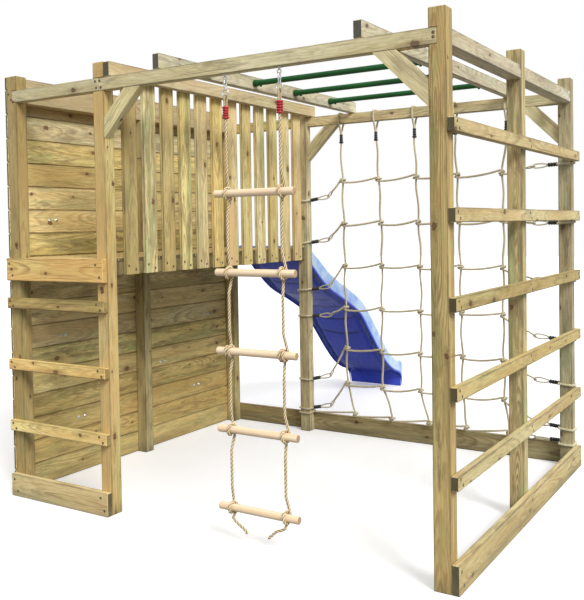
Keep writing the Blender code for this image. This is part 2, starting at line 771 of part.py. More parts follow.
def make_rope_ladder():
    """The ladder swings at its hangers and bends at its middle rung."""
    swing = marker("ladder_swing_axis", (LADDER_X, BEAM_MIDDLE_Y, SWING_Z), TOWER)
    bend = marker("ladder_bend_axis", (LADDER_X, BEAM_MIDDLE_Y, BEND_Z), swing)
    for side, step, tail in (("left", -1, LEFT_TAIL), ("right", 1, RIGHT_TAIL)):
        x = LADDER_X + step * LADDER_SPAN / 2
        make_hanger("ladder_hanger_" + side, x)
        make_upper_rope("ladder_rope_upper_" + side, x, swing)
        make_lower_rope("ladder_rope_lower_" + side, x, tail, bend)
    edge = 0.003
    half = RUNG_LENGTH / 2
    profile = [
        (0, half), (RUNG_RADIUS - edge, half), (RUNG_RADIUS, half - edge),
        (RUNG_RADIUS, edge - half), (RUNG_RADIUS - edge, -half), (0, -half),
    ]
    for number in range(LADDER_RUNGS):
        name = f"ladder_rung_{number + 1}"
        mesh = turned_mesh(name, profile, 18)
        mesh.transform(Matrix.Rotation(math.radians(90), 4, "Y"))
        place = (LADDER_X, BEAM_MIDDLE_Y, TOP_RUNG_Z - number * RUNG_STEP)
        rung = add(name, mesh, place, swing if number <= BEND_RUNG else bend)
        finish(rung, PEACH, 0.6)


def net_row_z(row):
    first, last = BEAM_BOTTOM - NET_HEAD, NET_FOOT
    return first + NET_ROWS[row] * (last - first)


def net_tie_right_z(row):
    """Ties at the right back post sit just under a rung, clear of the board."""
    if row < len(NET_ROWS) - 3:
        return right_rung_top(RIGHT_RUNGS - row) - RUNG_HEIGHT - NET_ROPE - 0.004
    return (right_rung_top(1) + NET_ROPE + 0.010, BASE_HEIGHT + 0.098, BASE_HEIGHT + NET_ROPE + 0.006)[
        row - len(NET_ROWS) + 3
    ]


def net_tie_left_z(row):
    """Ties at the back middle post: two over the deck, three under it, two at its foot."""
    lowest = BASE_HEIGHT + NET_ROPE + 0.006
    heights = [DECK_TOP + rise for rise in TIES_ABOVE_DECK]
    heights += [share * (DECK_UNDER - JOIST_HEIGHT) for share in TIES_BELOW_DECK]
    heights += [lowest + 0.028, lowest]
    return heights[row]


def square_loop(centre, half_x, half_other, plane):
    """A rope loop round a square section, rounded at its corners."""
    corner = 0.008
    points = []
    for quarter in range(4):
        mid = math.radians(45 + 90 * quarter)
        sign = (math.copysign(1, math.cos(mid)), math.copysign(1, math.sin(mid)))
        for turn in (-30, 30):
            angle = mid + math.radians(turn)
            across = sign[0] * (half_x - corner) + corner * math.cos(angle)
            other = sign[1] * (half_other - corner) + corner * math.sin(angle)
            offset = (across, other, 0) if plane == "XY" else (0, across, other)
            points.append(centre + Vector(offset))
    return points


def make_net():
    """A knotted rope net: columns on the back beam, rows tied round the two posts."""
    pitch = (NET_LAST_X - NET_FIRST_X) / (NET_COLUMNS - 1)
    columns = [NET_FIRST_X + pitch * number for number in range(NET_COLUMNS)]
    out = GAP + NET_ROPE
    post_y = BACK_Y + POST / 2
    left_x, right_x = TOWER_WIDTH + NET_ROPE, RIGHT_X - NET_ROPE
    row_lines, knots, loops = [], [], []
    for row in range(len(NET_ROWS)):
        z = net_row_z(row)
        ties = (net_tie_left_z(row), net_tie_right_z(row))
        line = [(left_x, ties[0]), *[(x, z) for x in columns], (right_x, ties[1])]
        row_lines.append([(x, NET_Y + 0.001, z) for x, z in line])
        knots += [Vector((x, NET_Y, z)) for x in columns]
        for post_x, tie in ((MIDDLE_X + POST / 2, ties[0]), (RIGHT_X + POST / 2, ties[1])):
            loops.append(square_loop(Vector((post_x, post_y, tie)), POST / 2 + out, POST / 2 + out, "XY"))
    top = BEAM_BOTTOM - NET_ROPE
    beam_z = (BEAM_BOTTOM + BEAM_TOP) / 2
    for x in columns:
        centre = Vector((x, NET_Y, beam_z))
        loops.append(square_loop(centre, BEAM_DEPTH / 2 + out, BEAM_HEIGHT / 2 + out, "YZ"))
    net = add("climbing_net", tube_mesh("climbing_net", row_lines, NET_ROPE * 0.97))
    column_lines = []
    for x in columns:
        points = [(x, NET_Y - 0.001, top)]
        for row in range(len(NET_ROWS)):
            points.append((x, NET_Y - 0.001, net_row_z(row)))
        column_lines.append(points)

    def tie_knots(work):
        for centre in knots:
            turn = Matrix.Translation(centre) @ Matrix.Rotation(0.3, 4, "Y")
            turn = turn @ Matrix.Diagonal((1.05, 0.85, 1.2, 1))
            bmesh.ops.create_uvsphere(work, u_segments=5, v_segments=3, radius=KNOT_RADIUS, matrix=turn)

    for joined in (
        tube_mesh("net_loops", loops, NET_ROPE, closed=True),
        tube_mesh("net_columns", column_lines, NET_ROPE),
        to_mesh("net_knots", tie_knots),
    ):
        boolean(net, helper(joined.name, joined), "UNION")
    finish(net, ROPE, 0.9)


def make_holds():
    """Cast grips bolted on the outside of the wall, flat on their backs."""
    places = [*FRONT_HOLDS, *[(FRAME_DEPTH - back, z) for back, z in BACK_HOLDS]]
    for number, (y, z) in enumerate(places, 1):
        name = f"climbing_hold_{number}"

        def grip(work):
            bmesh.ops.create_uvsphere(work, u_segments=12, v_segments=8, radius=1)
            plane = bmesh.ops.bisect_plane(
                work,
                geom=[*work.verts, *work.edges, *work.faces],
                plane_co=(0, 0, 0),
                plane_no=(1, 0, 0),
                clear_outer=True,
            )
            rim = [item for item in plane["geom_cut"] if isinstance(item, bmesh.types.BMEdge)]
            bmesh.ops.contextual_create(work, geom=rim)
            for vert in work.verts:
                lip = 0.16 * max(0, vert.co.z) * (1 - vert.co.x ** 2)
                vert.co = Vector(
                    (
                        vert.co.x * HOLD_DEPTH,
                        vert.co.y * HOLD_LENGTH / 2 * (1 - lip),
                        vert.co.z * HOLD_HEIGHT / 2 - 0.25 * HOLD_HEIGHT * vert.co.x ** 2,
                    )
                )
            bmesh.ops.recalc_face_normals(work, faces=work.faces)

        hold = add(name, to_mesh(name, grip), (-2 * GAP - WALL_BOARD, y, z))
        finish(hold, STONE, 0.7)


clear_scene()
MODEL = collection("play_tower")
CUTTERS = collection("play_tower_cutters")
TOWER = marker("tower_origin", (0, 0, 0))
TOWER.location = -CENTRE
make_posts()
make_beams()
make_braces()
make_board_ladders()
make_wall()
make_deck()
make_slat_panel()
make_monkey_bars()
make_slide()
make_rope_ladder()
make_net()
make_holds()
names = [obj.name for obj in MODEL.objects if obj.type != "EMPTY"]
print("pieces:", len(names))
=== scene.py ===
# %% [markdown]
# # A play tower with a slide
# This file dresses a finished CAD model of a wooden play tower: pine posts and boards, a
# plastic slide, steel monkey bars, a rope ladder and a climbing net. The CAD model is a
# fixed frame. Every piece made here rides on one of its bodies, so that the rope ladder
# still swings and bends when the frame is posed.

# %% Load the fixed frame
import math

import bmesh
import bpy
import numpy as np
from mathutils import Matrix, Vector


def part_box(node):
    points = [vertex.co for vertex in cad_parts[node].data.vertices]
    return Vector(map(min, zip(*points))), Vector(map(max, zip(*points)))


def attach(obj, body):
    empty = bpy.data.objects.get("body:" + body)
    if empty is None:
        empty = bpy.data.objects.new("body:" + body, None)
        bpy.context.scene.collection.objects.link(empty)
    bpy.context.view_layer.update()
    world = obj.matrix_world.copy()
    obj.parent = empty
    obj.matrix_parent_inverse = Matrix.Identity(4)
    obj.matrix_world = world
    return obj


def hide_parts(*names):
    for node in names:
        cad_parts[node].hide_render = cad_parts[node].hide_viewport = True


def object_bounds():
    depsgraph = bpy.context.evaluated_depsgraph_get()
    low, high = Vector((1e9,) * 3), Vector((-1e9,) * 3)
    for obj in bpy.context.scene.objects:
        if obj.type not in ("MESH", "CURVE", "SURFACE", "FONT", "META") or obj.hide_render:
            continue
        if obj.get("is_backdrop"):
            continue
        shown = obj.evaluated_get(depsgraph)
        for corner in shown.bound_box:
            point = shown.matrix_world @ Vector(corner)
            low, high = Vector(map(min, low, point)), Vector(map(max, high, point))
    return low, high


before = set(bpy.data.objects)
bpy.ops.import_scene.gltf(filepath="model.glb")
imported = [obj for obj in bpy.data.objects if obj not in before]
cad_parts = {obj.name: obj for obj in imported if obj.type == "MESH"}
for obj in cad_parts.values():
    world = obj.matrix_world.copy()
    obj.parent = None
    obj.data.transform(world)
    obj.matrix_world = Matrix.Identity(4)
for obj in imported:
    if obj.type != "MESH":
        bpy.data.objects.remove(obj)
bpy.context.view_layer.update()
scene = bpy.context.scene
scene.view_settings.view_transform = "Standard"
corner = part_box("post_front_left")[0]


def spot(x, y, z):
    """A point given from the tower's own front left corner."""
    return corner + Vector((x, y, z))


def linked(name, data):
    """A new object in the scene."""
    made = bpy.data.objects.new(name, data)
    scene.collection.objects.link(made)
    return made


# %% [markdown]
# ## The camera
# The tower was photographed from the front right, from about the height of a child's
# eyes. A camera can be placed by hand until the picture looks right, or it can be worked
# out from the corners of the posts, which is what these numbers come from. Lens shift
# stands for the crop of the picture, so that the upright posts stay upright.

# %% Camera
YAW, PITCH, ROLL = 0.5774, -0.0291, -0.0169
# The picture's size, its focal length and where the lens points, all in picture points
WIDTH, HEIGHT = 584, 600
FOCUS, AIM_X, AIM_Y = 837.593, 263.62, 250.95
flat = math.cos(PITCH)
forward = Vector((-math.sin(YAW) * flat, math.cos(YAW) * flat, math.sin(PITCH)))
level = Vector((math.cos(YAW), math.sin(YAW), 0))
above = level.cross(forward)
right = level * math.cos(ROLL) + above * math.sin(ROLL)
up = above * math.cos(ROLL) - level * math.sin(ROLL)
camera_data = bpy.data.cameras.new("camera")
camera_data.sensor_width = 36
camera_data.lens = FOCUS / HEIGHT * 36
camera_data.shift_x = (WIDTH / 2 - AIM_X) / HEIGHT
camera_data.shift_y = (AIM_Y - HEIGHT / 2) / HEIGHT
camera = linked("camera", camera_data)
turn = Matrix((right, up, -forward)).transposed().to_4x4()
camera.matrix_world = Matrix.Translation((2.34845, -4.81785, 1.4011)) @ turn
scene.camera = camera
print("lens", round(camera_data.lens, 2), "mm")

# %% [markdown]
# ## Small helpers for nodes
# A finish is a tree of shader nodes. Writing each node and each link by itself takes many
# lines. Here a Node takes its inputs as it is made, and its outputs are Wires, on which
# sums are written as on numbers. All of them go into the tree that was begun last, so it
# needn't be named each time. An input gets a number, a colour, or a Wire.

# %% Node helpers
trees = []


class Wire:
    """The output of a node."""

    def __init__(self, socket):
        self.socket = socket

    def __add__(self, other):
        return calc("ADD", self, other)

    def __sub__(self, other):
        return calc("SUBTRACT", self, other)

    def __mul__(self, other):
        return calc("MULTIPLY", self, other)

    def __truediv__(self, other):
        return calc("DIVIDE", self, other)

    def __abs__(self):
        return calc("ABSOLUTE", self)


class Node:
    """A node in the tree begun last. Its outputs are taken by number or by name."""

    def __init__(self, kind, inputs=(), **settings):
        kind = kind if kind.startswith("Node") else "ShaderNode" + kind
        self.made = trees[-1].nodes.new(kind)
        for key, value in settings.items():
            setattr(self.made, key, value)
        for key, value in dict(inputs).items():
            feed(self.made.inputs[key], value)

    def __getitem__(self, key):
        return Wire(self.made.outputs[key])


def feed(socket, value):
    if isinstance(value, Wire):
        socket.id_data.links.new(value.socket, socket)
    elif socket.type == "RGBA":
        socket.default_value = (*value, 1)
    else:
        socket.default_value = value


def calc(operation, *values):
    """One step of arithmetic."""
    return Node("Math", enumerate(values), operation=operation)[0]


def mul_add(value, factor, more):
    return calc("MULTIPLY_ADD", value, factor, more)


def hypot(a, b):
    return calc("SQRT", mul_add(a, a, b * b))


def vector_calc(operation, a, b, output=0):
    return Node("VectorMath", {0: a, 1: b}, operation=operation)[output]


def along(a, b):
    """How far a point lies along a direction."""
    return vector_calc("DOT_PRODUCT", a, b, "Value")


def split(vector):
    return Node("SeparateXYZ", {0: vector})


def vector_of(x, y, z=0.0):
    return Node("CombineXYZ", {0: x, 1: y, 2: z})[0]


def fade(value, low, high, start=0.0, end=1.0):
    """A soft step from start to end while the value goes from low to high."""
    numbers = {"Value": value, "From Min": low, "From Max": high, "To Min": start, "To Max": end}
    return Node("MapRange", numbers, interpolation_type="SMOOTHSTEP")[0]


def mix(share, first, second, way="MIX"):
    return Node("Mix", {0: share, 6: first, 7: second}, data_type="RGBA", blend_type=way)[2]


def painted(colour, *layers):
    """Lay colours over one another, each by its own share."""
    for share, tint in layers:
        colour = mix(share, colour, tint)
    return colour


def noise(vector, scale, detail=2.0, rough=0.5, output="Fac"):
    inputs = {"Vector": vector, "Scale": scale, "Detail": detail, "Roughness": rough}
    return Node("TexNoise", inputs)[output]


def drawn(vector, run, across, detail=2.0, rough=0.5, scale=1.0, output="Fac"):
    """Noise drawn out along the first axis, by scaling the axes differently."""
    vector = vector_calc("MULTIPLY", vector, (run, across, across))
    return noise(vector, scale, detail, rough, output)


def coordinates(output="Object"):
    return Node("TexCoord")[output]


def stored(name, output="Fac"):
    """A value that the mesh keeps on its points."""
    return Node("Attribute", attribute_name=name)[output]


print("nodes can be added")

# %% [markdown]
# ## Small helpers for materials
# A material is begun, its nodes are added, and at the end a colour, a roughness and a bump
# are joined to its shader. The plainest finishes differ only in their numbers, so one
# function makes them all.

# %% Material helpers
def new_material(name):
    """Begin a material, whose tree then takes the nodes."""
    material = bpy.data.materials.new(name)
    material.use_nodes = True
    trees.append(material.node_tree)
    return material


def surface(material, colour, rough, height, distance, strength, specular=0.5, metallic=0.0):
    """Join a colour, a roughness and a bump to the material's shader."""
    relief = Node("Bump", {"Height": height, "Distance": distance, "Strength": strength})[0]
    fed = {"Base Color": colour, "Roughness": rough, "Normal": relief}
    fed.update({"Specular IOR Level": specular, "Metallic": metallic})
    for label, value in fed.items():
        feed(material.node_tree.nodes["Principled BSDF"].inputs[label], value)
    return material


def cloudy(name, size, light, dark, rough, distance, strength, metallic=0.0):
    """A plain finish: two colours in clouds, which also roughen it and raise it."""
    material = new_material(name)
    cloud = noise(coordinates(), size, 3.0)
    colour = mix(fade(cloud, 0.3, 0.7), light, dark)
    rough = fade(cloud, 0.3, 0.7, *rough)
    return surface(material, colour, rough, cloud, distance, strength, metallic=metallic)


print("materials can be made")

# %% [markdown]
# ## Placing a piece
# Each finished mesh goes through the same steps: it is linked, gets its finish, rides on
# a body of the frame, and hides the CAD nodes that it stands for.

# %% Placing helpers
def place_piece(name, mesh, finish, slot, replaced=(), body="frame", smooth=False):
    piece = linked(name, mesh)
    mesh.materials.clear()
    mesh.materials.append(finish)
    if smooth:
        mesh.shade_smooth()
    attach(piece, body)
    if replaced:
        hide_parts(*replaced)
    return piece


def put(name, *rest, **more):
    return place_piece(name + "_look", *rest, **more)


def mesh_of(name, work):
    """Turn a bmesh into a mesh and let the bmesh go."""
    mesh = bpy.data.meshes.new(name)
    work.to_mesh(mesh)
    work.free()
    return mesh


print("pieces can be placed")

# %% [markdown]
# ## Laid rope
# The ladder and the net are made of laid rope: three strands wound round each other. A
# plain tube looks like a cable, so the tube here has a section with three lobes, and the
# section turns steadily while it is swept along the rope's path. The mesh is built row by
# row with numpy, which is quick for the thousands of rings that a net needs. Its UV map
# runs in metres along the rope and once round it, so a finish can follow the strands.

# %% Rope helpers
LOBES = np.array((1.0, 0.9, 0.68, 0.9) * 3)
SIDES = len(LOBES)
LAY = 0.056


def smooth_path(points, steps=8):
    """A smooth curve through the points."""
    points = [Vector(point) for point in points]
    padded = [2 * points[0] - points[1], *points, 2 * points[-1] - points[-2]]
    line = []
    for a, b, c, d in zip(padded, padded[1:], padded[2:], padded[3:]):
        for step in range(steps):
            t = step / steps
            bend = 2 * a - 5 * b + 4 * c - d + t * (3 * (b - c) + d - a)
            line.append(b + 0.5 * t * (c - a + t * bend))
    return np.array([tuple(point) for point in [*line, points[-1]]])


def steps_of(path):
    """The length of each step of a path."""
    return np.linalg.norm(np.diff(path, axis=0), axis=1)


def even_path(points, step):
    """The same line with its points an even step apart."""
    points = np.asarray(points, float)
    run = np.concatenate([[0], np.cumsum(steps_of(points))])
    wanted = np.linspace(0, run[-1], max(3, round(run[-1] / step) + 1))
    return np.stack([np.interp(wanted, run, points[:, k]) for k in range(3)], axis=1)


def length_of(path):
    return float(steps_of(path).sum())


def circle(count):
    return 2 * math.pi * np.arange(count) / count


def carried_frames(path):
    """Two directions across the path at each point, carried along without twisting."""
    ahead = np.gradient(path, axis=0)
    ahead /= np.linalg.norm(ahead, axis=1)[:, None]
    side = np.cross(ahead[0], (0.31, 0.17, 0.93))
    sides = []
    for direction in ahead:
        side = side - direction * side.dot(direction)
        side = side / np.linalg.norm(side)
        sides.append(side)
    sides = np.array(sides)
    return sides, np.cross(ahead, sides)


def rope_arrays(path, radius, lay, rounding):
    """Points, faces and UVs of one rope. The ends are closed with a small rounded ring."""
    side, other = carried_frames(path)
    run = np.concatenate([[0], np.cumsum(steps_of(path))])
    around = np.arange(SIDES)[None, :]
    angle = 2 * math.pi * (around / SIDES + run[:, None] / lay)
    size = radius * np.broadcast_to(LOBES, angle.shape).copy()
    size[[0, -1]] *= rounding
    across, over = np.cos(angle)[..., None], np.sin(angle)[..., None]
    ring = side[:, None, :] * across + other[:, None, :] * over
    points = (path[:, None, :] + ring * size[..., None]).reshape(-1, 3)
    rows = np.arange(len(path) - 1)[:, None] * SIDES
    after = (around + 1) % SIDES
    corners = [rows + around, rows + after, rows + SIDES + after, rows + SIDES + around]
    low_u, high_u, low_v = run[:-1, None], run[1:, None], around / SIDES
    high_v, blank = low_v + 1 / SIDES, np.zeros((len(path) - 1, SIDES))
    pairs = (low_u, low_v), (low_u, high_v), (high_u, high_v), (high_u, low_v)
    uvs = np.stack([np.stack([u + blank, v + blank], -1) for u, v in pairs], axis=2)
    return points, np.stack(corners, axis=-1).reshape(-1, 4), uvs.reshape(-1, 2)


def make_rope(name, paths, radius, lay, finish, replaced=(), body="frame", rounding=0.45):
    """One object with a laid rope along each path."""
    points, faces, uvs, start = [], [], [], 0
    for path in paths:
        more, quads, more_uvs = rope_arrays(np.asarray(path, float), radius, lay, rounding)
        last = start + len(more) - SIDES
        faces += (quads + start).tolist()
        faces += [list(range(start, start + SIDES))[::-1], list(range(last, last + SIDES))]
        uvs += [more_uvs, np.zeros((2 * SIDES, 2))]
        points.append(more)
        start += len(more)
    mesh = bpy.data.meshes.new(name)
    mesh.from_pydata(np.concatenate(points).tolist(), [], faces)
    layer = mesh.uv_layers.new(name="rope")
    layer.uv.foreach_set("vector", np.concatenate(uvs).astype(np.float32).ravel())
    return place_piece(name, mesh, finish, "rope", replaced, body, True)


print("lay of the rope", LAY, "m for each full turn of a strand")

# %% [markdown]
# ### Rope finish
# Spun rope is matt and beige. The valleys between its strands are painted darker, as
# painted shade with some dirt, while the crowns keep their pale colour, and fine fibres run
# almost along the rope. The finish reads the UV map: across it finds the strand, along it
# draws the fibres. A bump from the same fibres keeps the light from sliding over it as it
# would over plastic.

# %% Rope finish
def rope_finish(name, light, dark, fibre=(0.30, 0.21, 0.12)):
    material = new_material(name)
    parts = split(Node("UVMap", uv_map="rope")[0])
    run, around = parts[0], parts[1]
    strand = calc("FRACT", mul_add(around, 3.0, 0.5))
    crown = fade(abs(strand - 0.5), 0.10, 0.46, 1.0, 0.0)
    thread = vector_of(run * 22.0, (around + run / LAY) * 26.0)
    fibres = noise(thread, 1.0, 3.0, 0.6)
    patches = noise(coordinates(), 5.0, 3.0)
    colour = mix(fade(patches, 0.35, 0.7), light, dark)
    colour = mix(fade(fibres, 0.52, 0.72, 0.0, 0.55), colour, fibre)
    # Painted shade, with some dirt, darkens the valleys between the strands
    shade = mul_add(crown, 0.62, 0.38)
    colour = mix(1.0, colour, vector_of(shade, shade, shade * shade), "MULTIPLY")
    rough = fade(fibres, 0.3, 0.7, 0.82, 0.97)
    return surface(material, colour, rough, fibres * 0.5 + crown, 0.0012, 0.8)


ladder_rope_finish = rope_finish("ladder_rope", (0.98, 0.80, 0.62), (0.84, 0.65, 0.48))
print("rope finish has", len(ladder_rope_finish.node_tree.nodes), "nodes")

# %% [markdown]
# ## Pine
# Nearly everything here is pressure-treated pine. A board shows where the growth rings of
# the trunk meet its faces: straight lines where it was cut along the rings, pointed arches
# where it was cut across them, and arcs on its sawn ends. One way is to draw lines on each
# face, but they never meet at the edges. This finish works in three dimensions instead:
# it measures how far a point lies from the heart of a wandering trunk, and turns that
# distance into rings. All faces of a piece then agree. Knots are short branches, found
# along the board at random, and the rings swerve round them.

# %% Pine as a node group
PINE_INPUTS = {"Centre": "Vector", "Along": "Vector", "Across": "Vector", "Seed": "Float"}
PINE_INPUTS.update({"Olive": "Float", "Warm": "Float", "Figure": "Float", "Tone": "Color"})
PINE_INPUTS.update({"Square": "Float", "Ends": "Float", "Half": "Vector"})
PINE_OUTPUTS = {"Color": "Color", "Roughness": "Float", "Height": "Float"}


def knots(run, across, shift, every, width):
    """The nearest branch: how far it is in knot radii, its size, and its smear."""
    place = mul_add(run, 1 / every, shift)
    cell = Node("TexVoronoi", {"W": place, "Scale": 1.0}, voronoi_dimensions="1D")
    gap = (place - cell["W"]) * (every * 0.72)
    chance = split(cell["Color"])
    off = across - mul_add(chance[0], width, -width / 2)
    there = calc("GREATER_THAN", chance[2], 0.46)
    size = calc("MAXIMUM", there * mul_add(chance[1], 0.010, 0.004), 0.0001)
    ragged = fade(noise(vector_of(gap, off, place), 70.0, 3.0), 0.3, 0.7, 0.72, 1.35)
    return hypot(gap, off) / size * ragged, size, hypot(gap * 0.22, off) / size * ragged


def build_pine():
    tree = bpy.data.node_groups.new("pine", "ShaderNodeTree")
    trees.append(tree)
    for way, sockets in (("INPUT", PINE_INPUTS), ("OUTPUT", PINE_OUTPUTS)):
        for label, kind in sockets.items():
            tree.interface.new_socket(name=label, in_out=way, socket_type="NodeSocket" + kind)
    given, where = Node("NodeGroupInput"), Node("TexCoord")
    local = vector_calc("SUBTRACT", where["Object"], given["Centre"])
    third = vector_calc("CROSS_PRODUCT", given["Along"], given["Across"])
    run, v, w = (along(local, way) for way in (given["Along"], given["Across"], third))
    seed = Node("TexWhiteNoise", {"W": given["Seed"]}, noise_dimensions="1D")
    chance = split(seed["Color"])
    run = mul_add(given["Seed"], 3.7, run)
    point = vector_of(run, v, w)
    # The trunk's heart wanders behind the board
    sway = split(drawn(point, 1.6, 9, output="Color"))
    wave = calc("SINE", mul_add(run, 3.1, chance[0] * 6.3))
    heart_v = mul_add(sway[0] - 0.5, 0.022, mul_add(chance[1], 0.05, -0.025))
    heart_w = mul_add(wave, 0.030, mul_add(chance[2], 0.045, 0.022))
    heart_w = mul_add(sway[1] - 0.5, 0.022, heart_w)
    ring = hypot(v + heart_v, w + heart_w)
    # Branches through the wide face and, on square posts, through the other one too
    far_a, size_a, tail = knots(run, v, 0.0, 0.36, 0.066)
    far_b, size_b = knots(run, w, 31.7, 0.52, 0.040)[:2]
    far_b = far_b + mul_add(given["Square"], -9.0, 9.0)
    for far, size in ((far_a, size_a), (far_b, size_b)):
        ring = mul_add(fade(far, 0.6, 3.4, 1.0, 0.0), size * 1.9, ring)
    knot = calc("MINIMUM", far_a, far_b)
    phase = ring / mul_add(chance[0], 0.0040, 0.0052)
    phase = mul_add(drawn(point, 9, 60, 3.0), 0.45, phase)
    year = calc("FRACT", phase)
    uneven = Node("TexNoise", {"W": phase * 0.53, "Scale": 1.0}, noise_dimensions="1D")["Fac"]
    late = fade(year, 0.25, 0.86) * fade(year, 0.88, 1.0, 1.0, 0.0)
    late = late * fade(uneven, 0.30, 0.68, 0.15, 1.0) * given["Figure"]
    # Patterns, from broad patches to single fibres
    broad, stain = drawn(point, 1.1, 7, 3.0), drawn(point, 1.1, 14, 4.0, 0.60, 1.9)
    moss, smudge = drawn(point, 2.6, 12, 3.0, 0.5, 1.3), drawn(point, 4.5, 24, 5.0, 0.66)
    streak, speck = drawn(point, 1.7, 80, 4.0, 0.7), drawn(point, 14, 230, 2.0, 0.7)
    fibre = drawn(point, 5, 330, 3.0, 0.6)
    # A knot is a dark bark ring round a brown heart with its own small rings
    inside = fade(knot, 0.75, 1.15, 1.0, 0.0)
    rim = inside * fade(knot, 0.55, 0.95)
    smear = fade(tail, 0.4, 1.6, 0.62, 0.0) * fade(fibre, 0.35, 0.60, 0.20, 1.0)
    eye = mul_add(calc("SINE", knot * 17.0), 0.5, 0.5)
    heart = mix(eye, (0.22, 0.120, 0.046), (0.12, 0.066, 0.028))
    # Arrises are darker: rain and dirt stay in the fibres that the planer bruised
    half = split(given["Half"])
    inner = calc("MAXIMUM", half[0] - abs(v), half[1] - abs(w))
    arris = fade(inner, 0.0, 0.0085, 1.0, 0.0) * fade(smudge, 0.30, 0.58, 0.30, 0.85)
    smudged = fade(smudge, 0.50, 0.66) * mul_add(given["Olive"], 0.55, 0.42)
    # Straw with deeper patches, then late wood, olive stains, specks, fibres and knots
    colour = painted(
        mix(fade(broad, 0.32, 0.68), (0.80, 0.665, 0.300), (0.60, 0.455, 0.165)),
        (late * 0.84, (0.30, 0.185, 0.070)),
        (fade(stain, 0.46, 0.60) * given["Olive"], (0.235, 0.225, 0.085)),
        (fade(moss, 0.56, 0.68) * given["Olive"], (0.40, 0.43, 0.17)),
        (smudged, (0.190, 0.138, 0.058)),
        (fade(speck, 0.40, 0.60, 0.20, 0.0), (0.20, 0.15, 0.065)),
        (fade(speck, 0.48, 0.68, 0.0, 0.20), (0.95, 0.84, 0.54)),
        (fade(sway[2], 0.30, 0.62) * given["Warm"], (0.66, 0.40, 0.155)),
        (fade(fibre, 0.45, 0.75, 0.0, 0.30), (0.36, 0.25, 0.105)),
        (fade(streak, 0.57, 0.72, 0.0, 0.72), (0.20, 0.135, 0.055)),
        (smear, (0.235, 0.150, 0.060)),
        (fade(knot, 0.9, 2.3, 0.45, 0.0), (0.36, 0.215, 0.08)),
        (inside, heart),
        (rim * 0.80, (0.055, 0.036, 0.020)),
        (arris, (0.150, 0.112, 0.052)),
    )
    # Sawn ends are darker, rougher and greener, and the wood is darker near the ground
    end = fade(abs(along(where["Normal"], given["Along"])), 0.80, 0.95)
    sawn = mix(late, (0.115, 0.090, 0.042), (0.055, 0.043, 0.023))
    low = fade(split(where["Object"])[2], 0.0, 0.09, 1.0, 0.0) * fade(stain, 0.3, 0.7, 0.15, 0.7)
    ends = (end, mix(given["Ends"], sawn, colour))
    colour = painted(colour, ends, (low, (0.20, 0.165, 0.085)))
    rough = mul_add(fibre, 0.25, 0.58) - inside * 0.15
    relief = mul_add(late, 0.5, fibre * 0.35) - fade(streak, 0.66, 0.78, 0.0, 0.8)
    fed = {"Color": mix(1.0, colour, given["Tone"], "MULTIPLY")}
    fed.update({"Roughness": mul_add(end, 0.15, rough), "Height": mul_add(rim, -0.7, relief)})
    Node("NodeGroupOutput", fed)
    return tree


pine = build_pine()
print("pine group has", len(pine.nodes), "nodes")

# %% [markdown]
# ### A finish for each piece of timber
# No two boards are cut from the same place, so each piece gets a material of its own that
# feeds the pine group a seed, the piece's middle and the direction of its grain. How
# olive, warm, figured and light a piece is was judged from the photograph: the top beams
# are pale and cool, the posts have strong arches, the slats differ from one to the next.

# %% Timber finishes
def pine_finish(name, *values):
    """One value for each input of the pine group, or the name of a stored one."""
    material = new_material(name)
    fed = {}
    for (label, kind), value in zip(PINE_INPUTS.items(), values):
        if isinstance(value, str):
            value = stored(value, "Fac" if kind == "Float" else "Vector")
        fed[label] = value
    wood = Node("Group", fed, node_tree=pine)
    return surface(material, wood["Color"], wood["Roughness"], wood["Height"], 0.0010, 0.7, 0.3)


HALF = math.sqrt(0.5)
WAYS = {"x": (1, 0, 0), "y": (0, 1, 0), "z": (0, 0, 1)}
WAYS.update({"rise": (HALF, 0, HALF), "fall": (-HALF, 0, HALF)})
# Sawn pine comes in a few shades, from fresh and warm to sun-bleached
SHADES = {
    "amber": (1.00, 0.95, 0.82), "straw": (1.00, 1.03, 1.00), "pale": (1.00, 1.06, 1.22),
    "cream": (1.00, 1.10, 1.48), "bleached": (1.00, 1.18, 1.92),
}


def shade(kind, light):
    return tuple(float(light) * value for value in SHADES[kind])
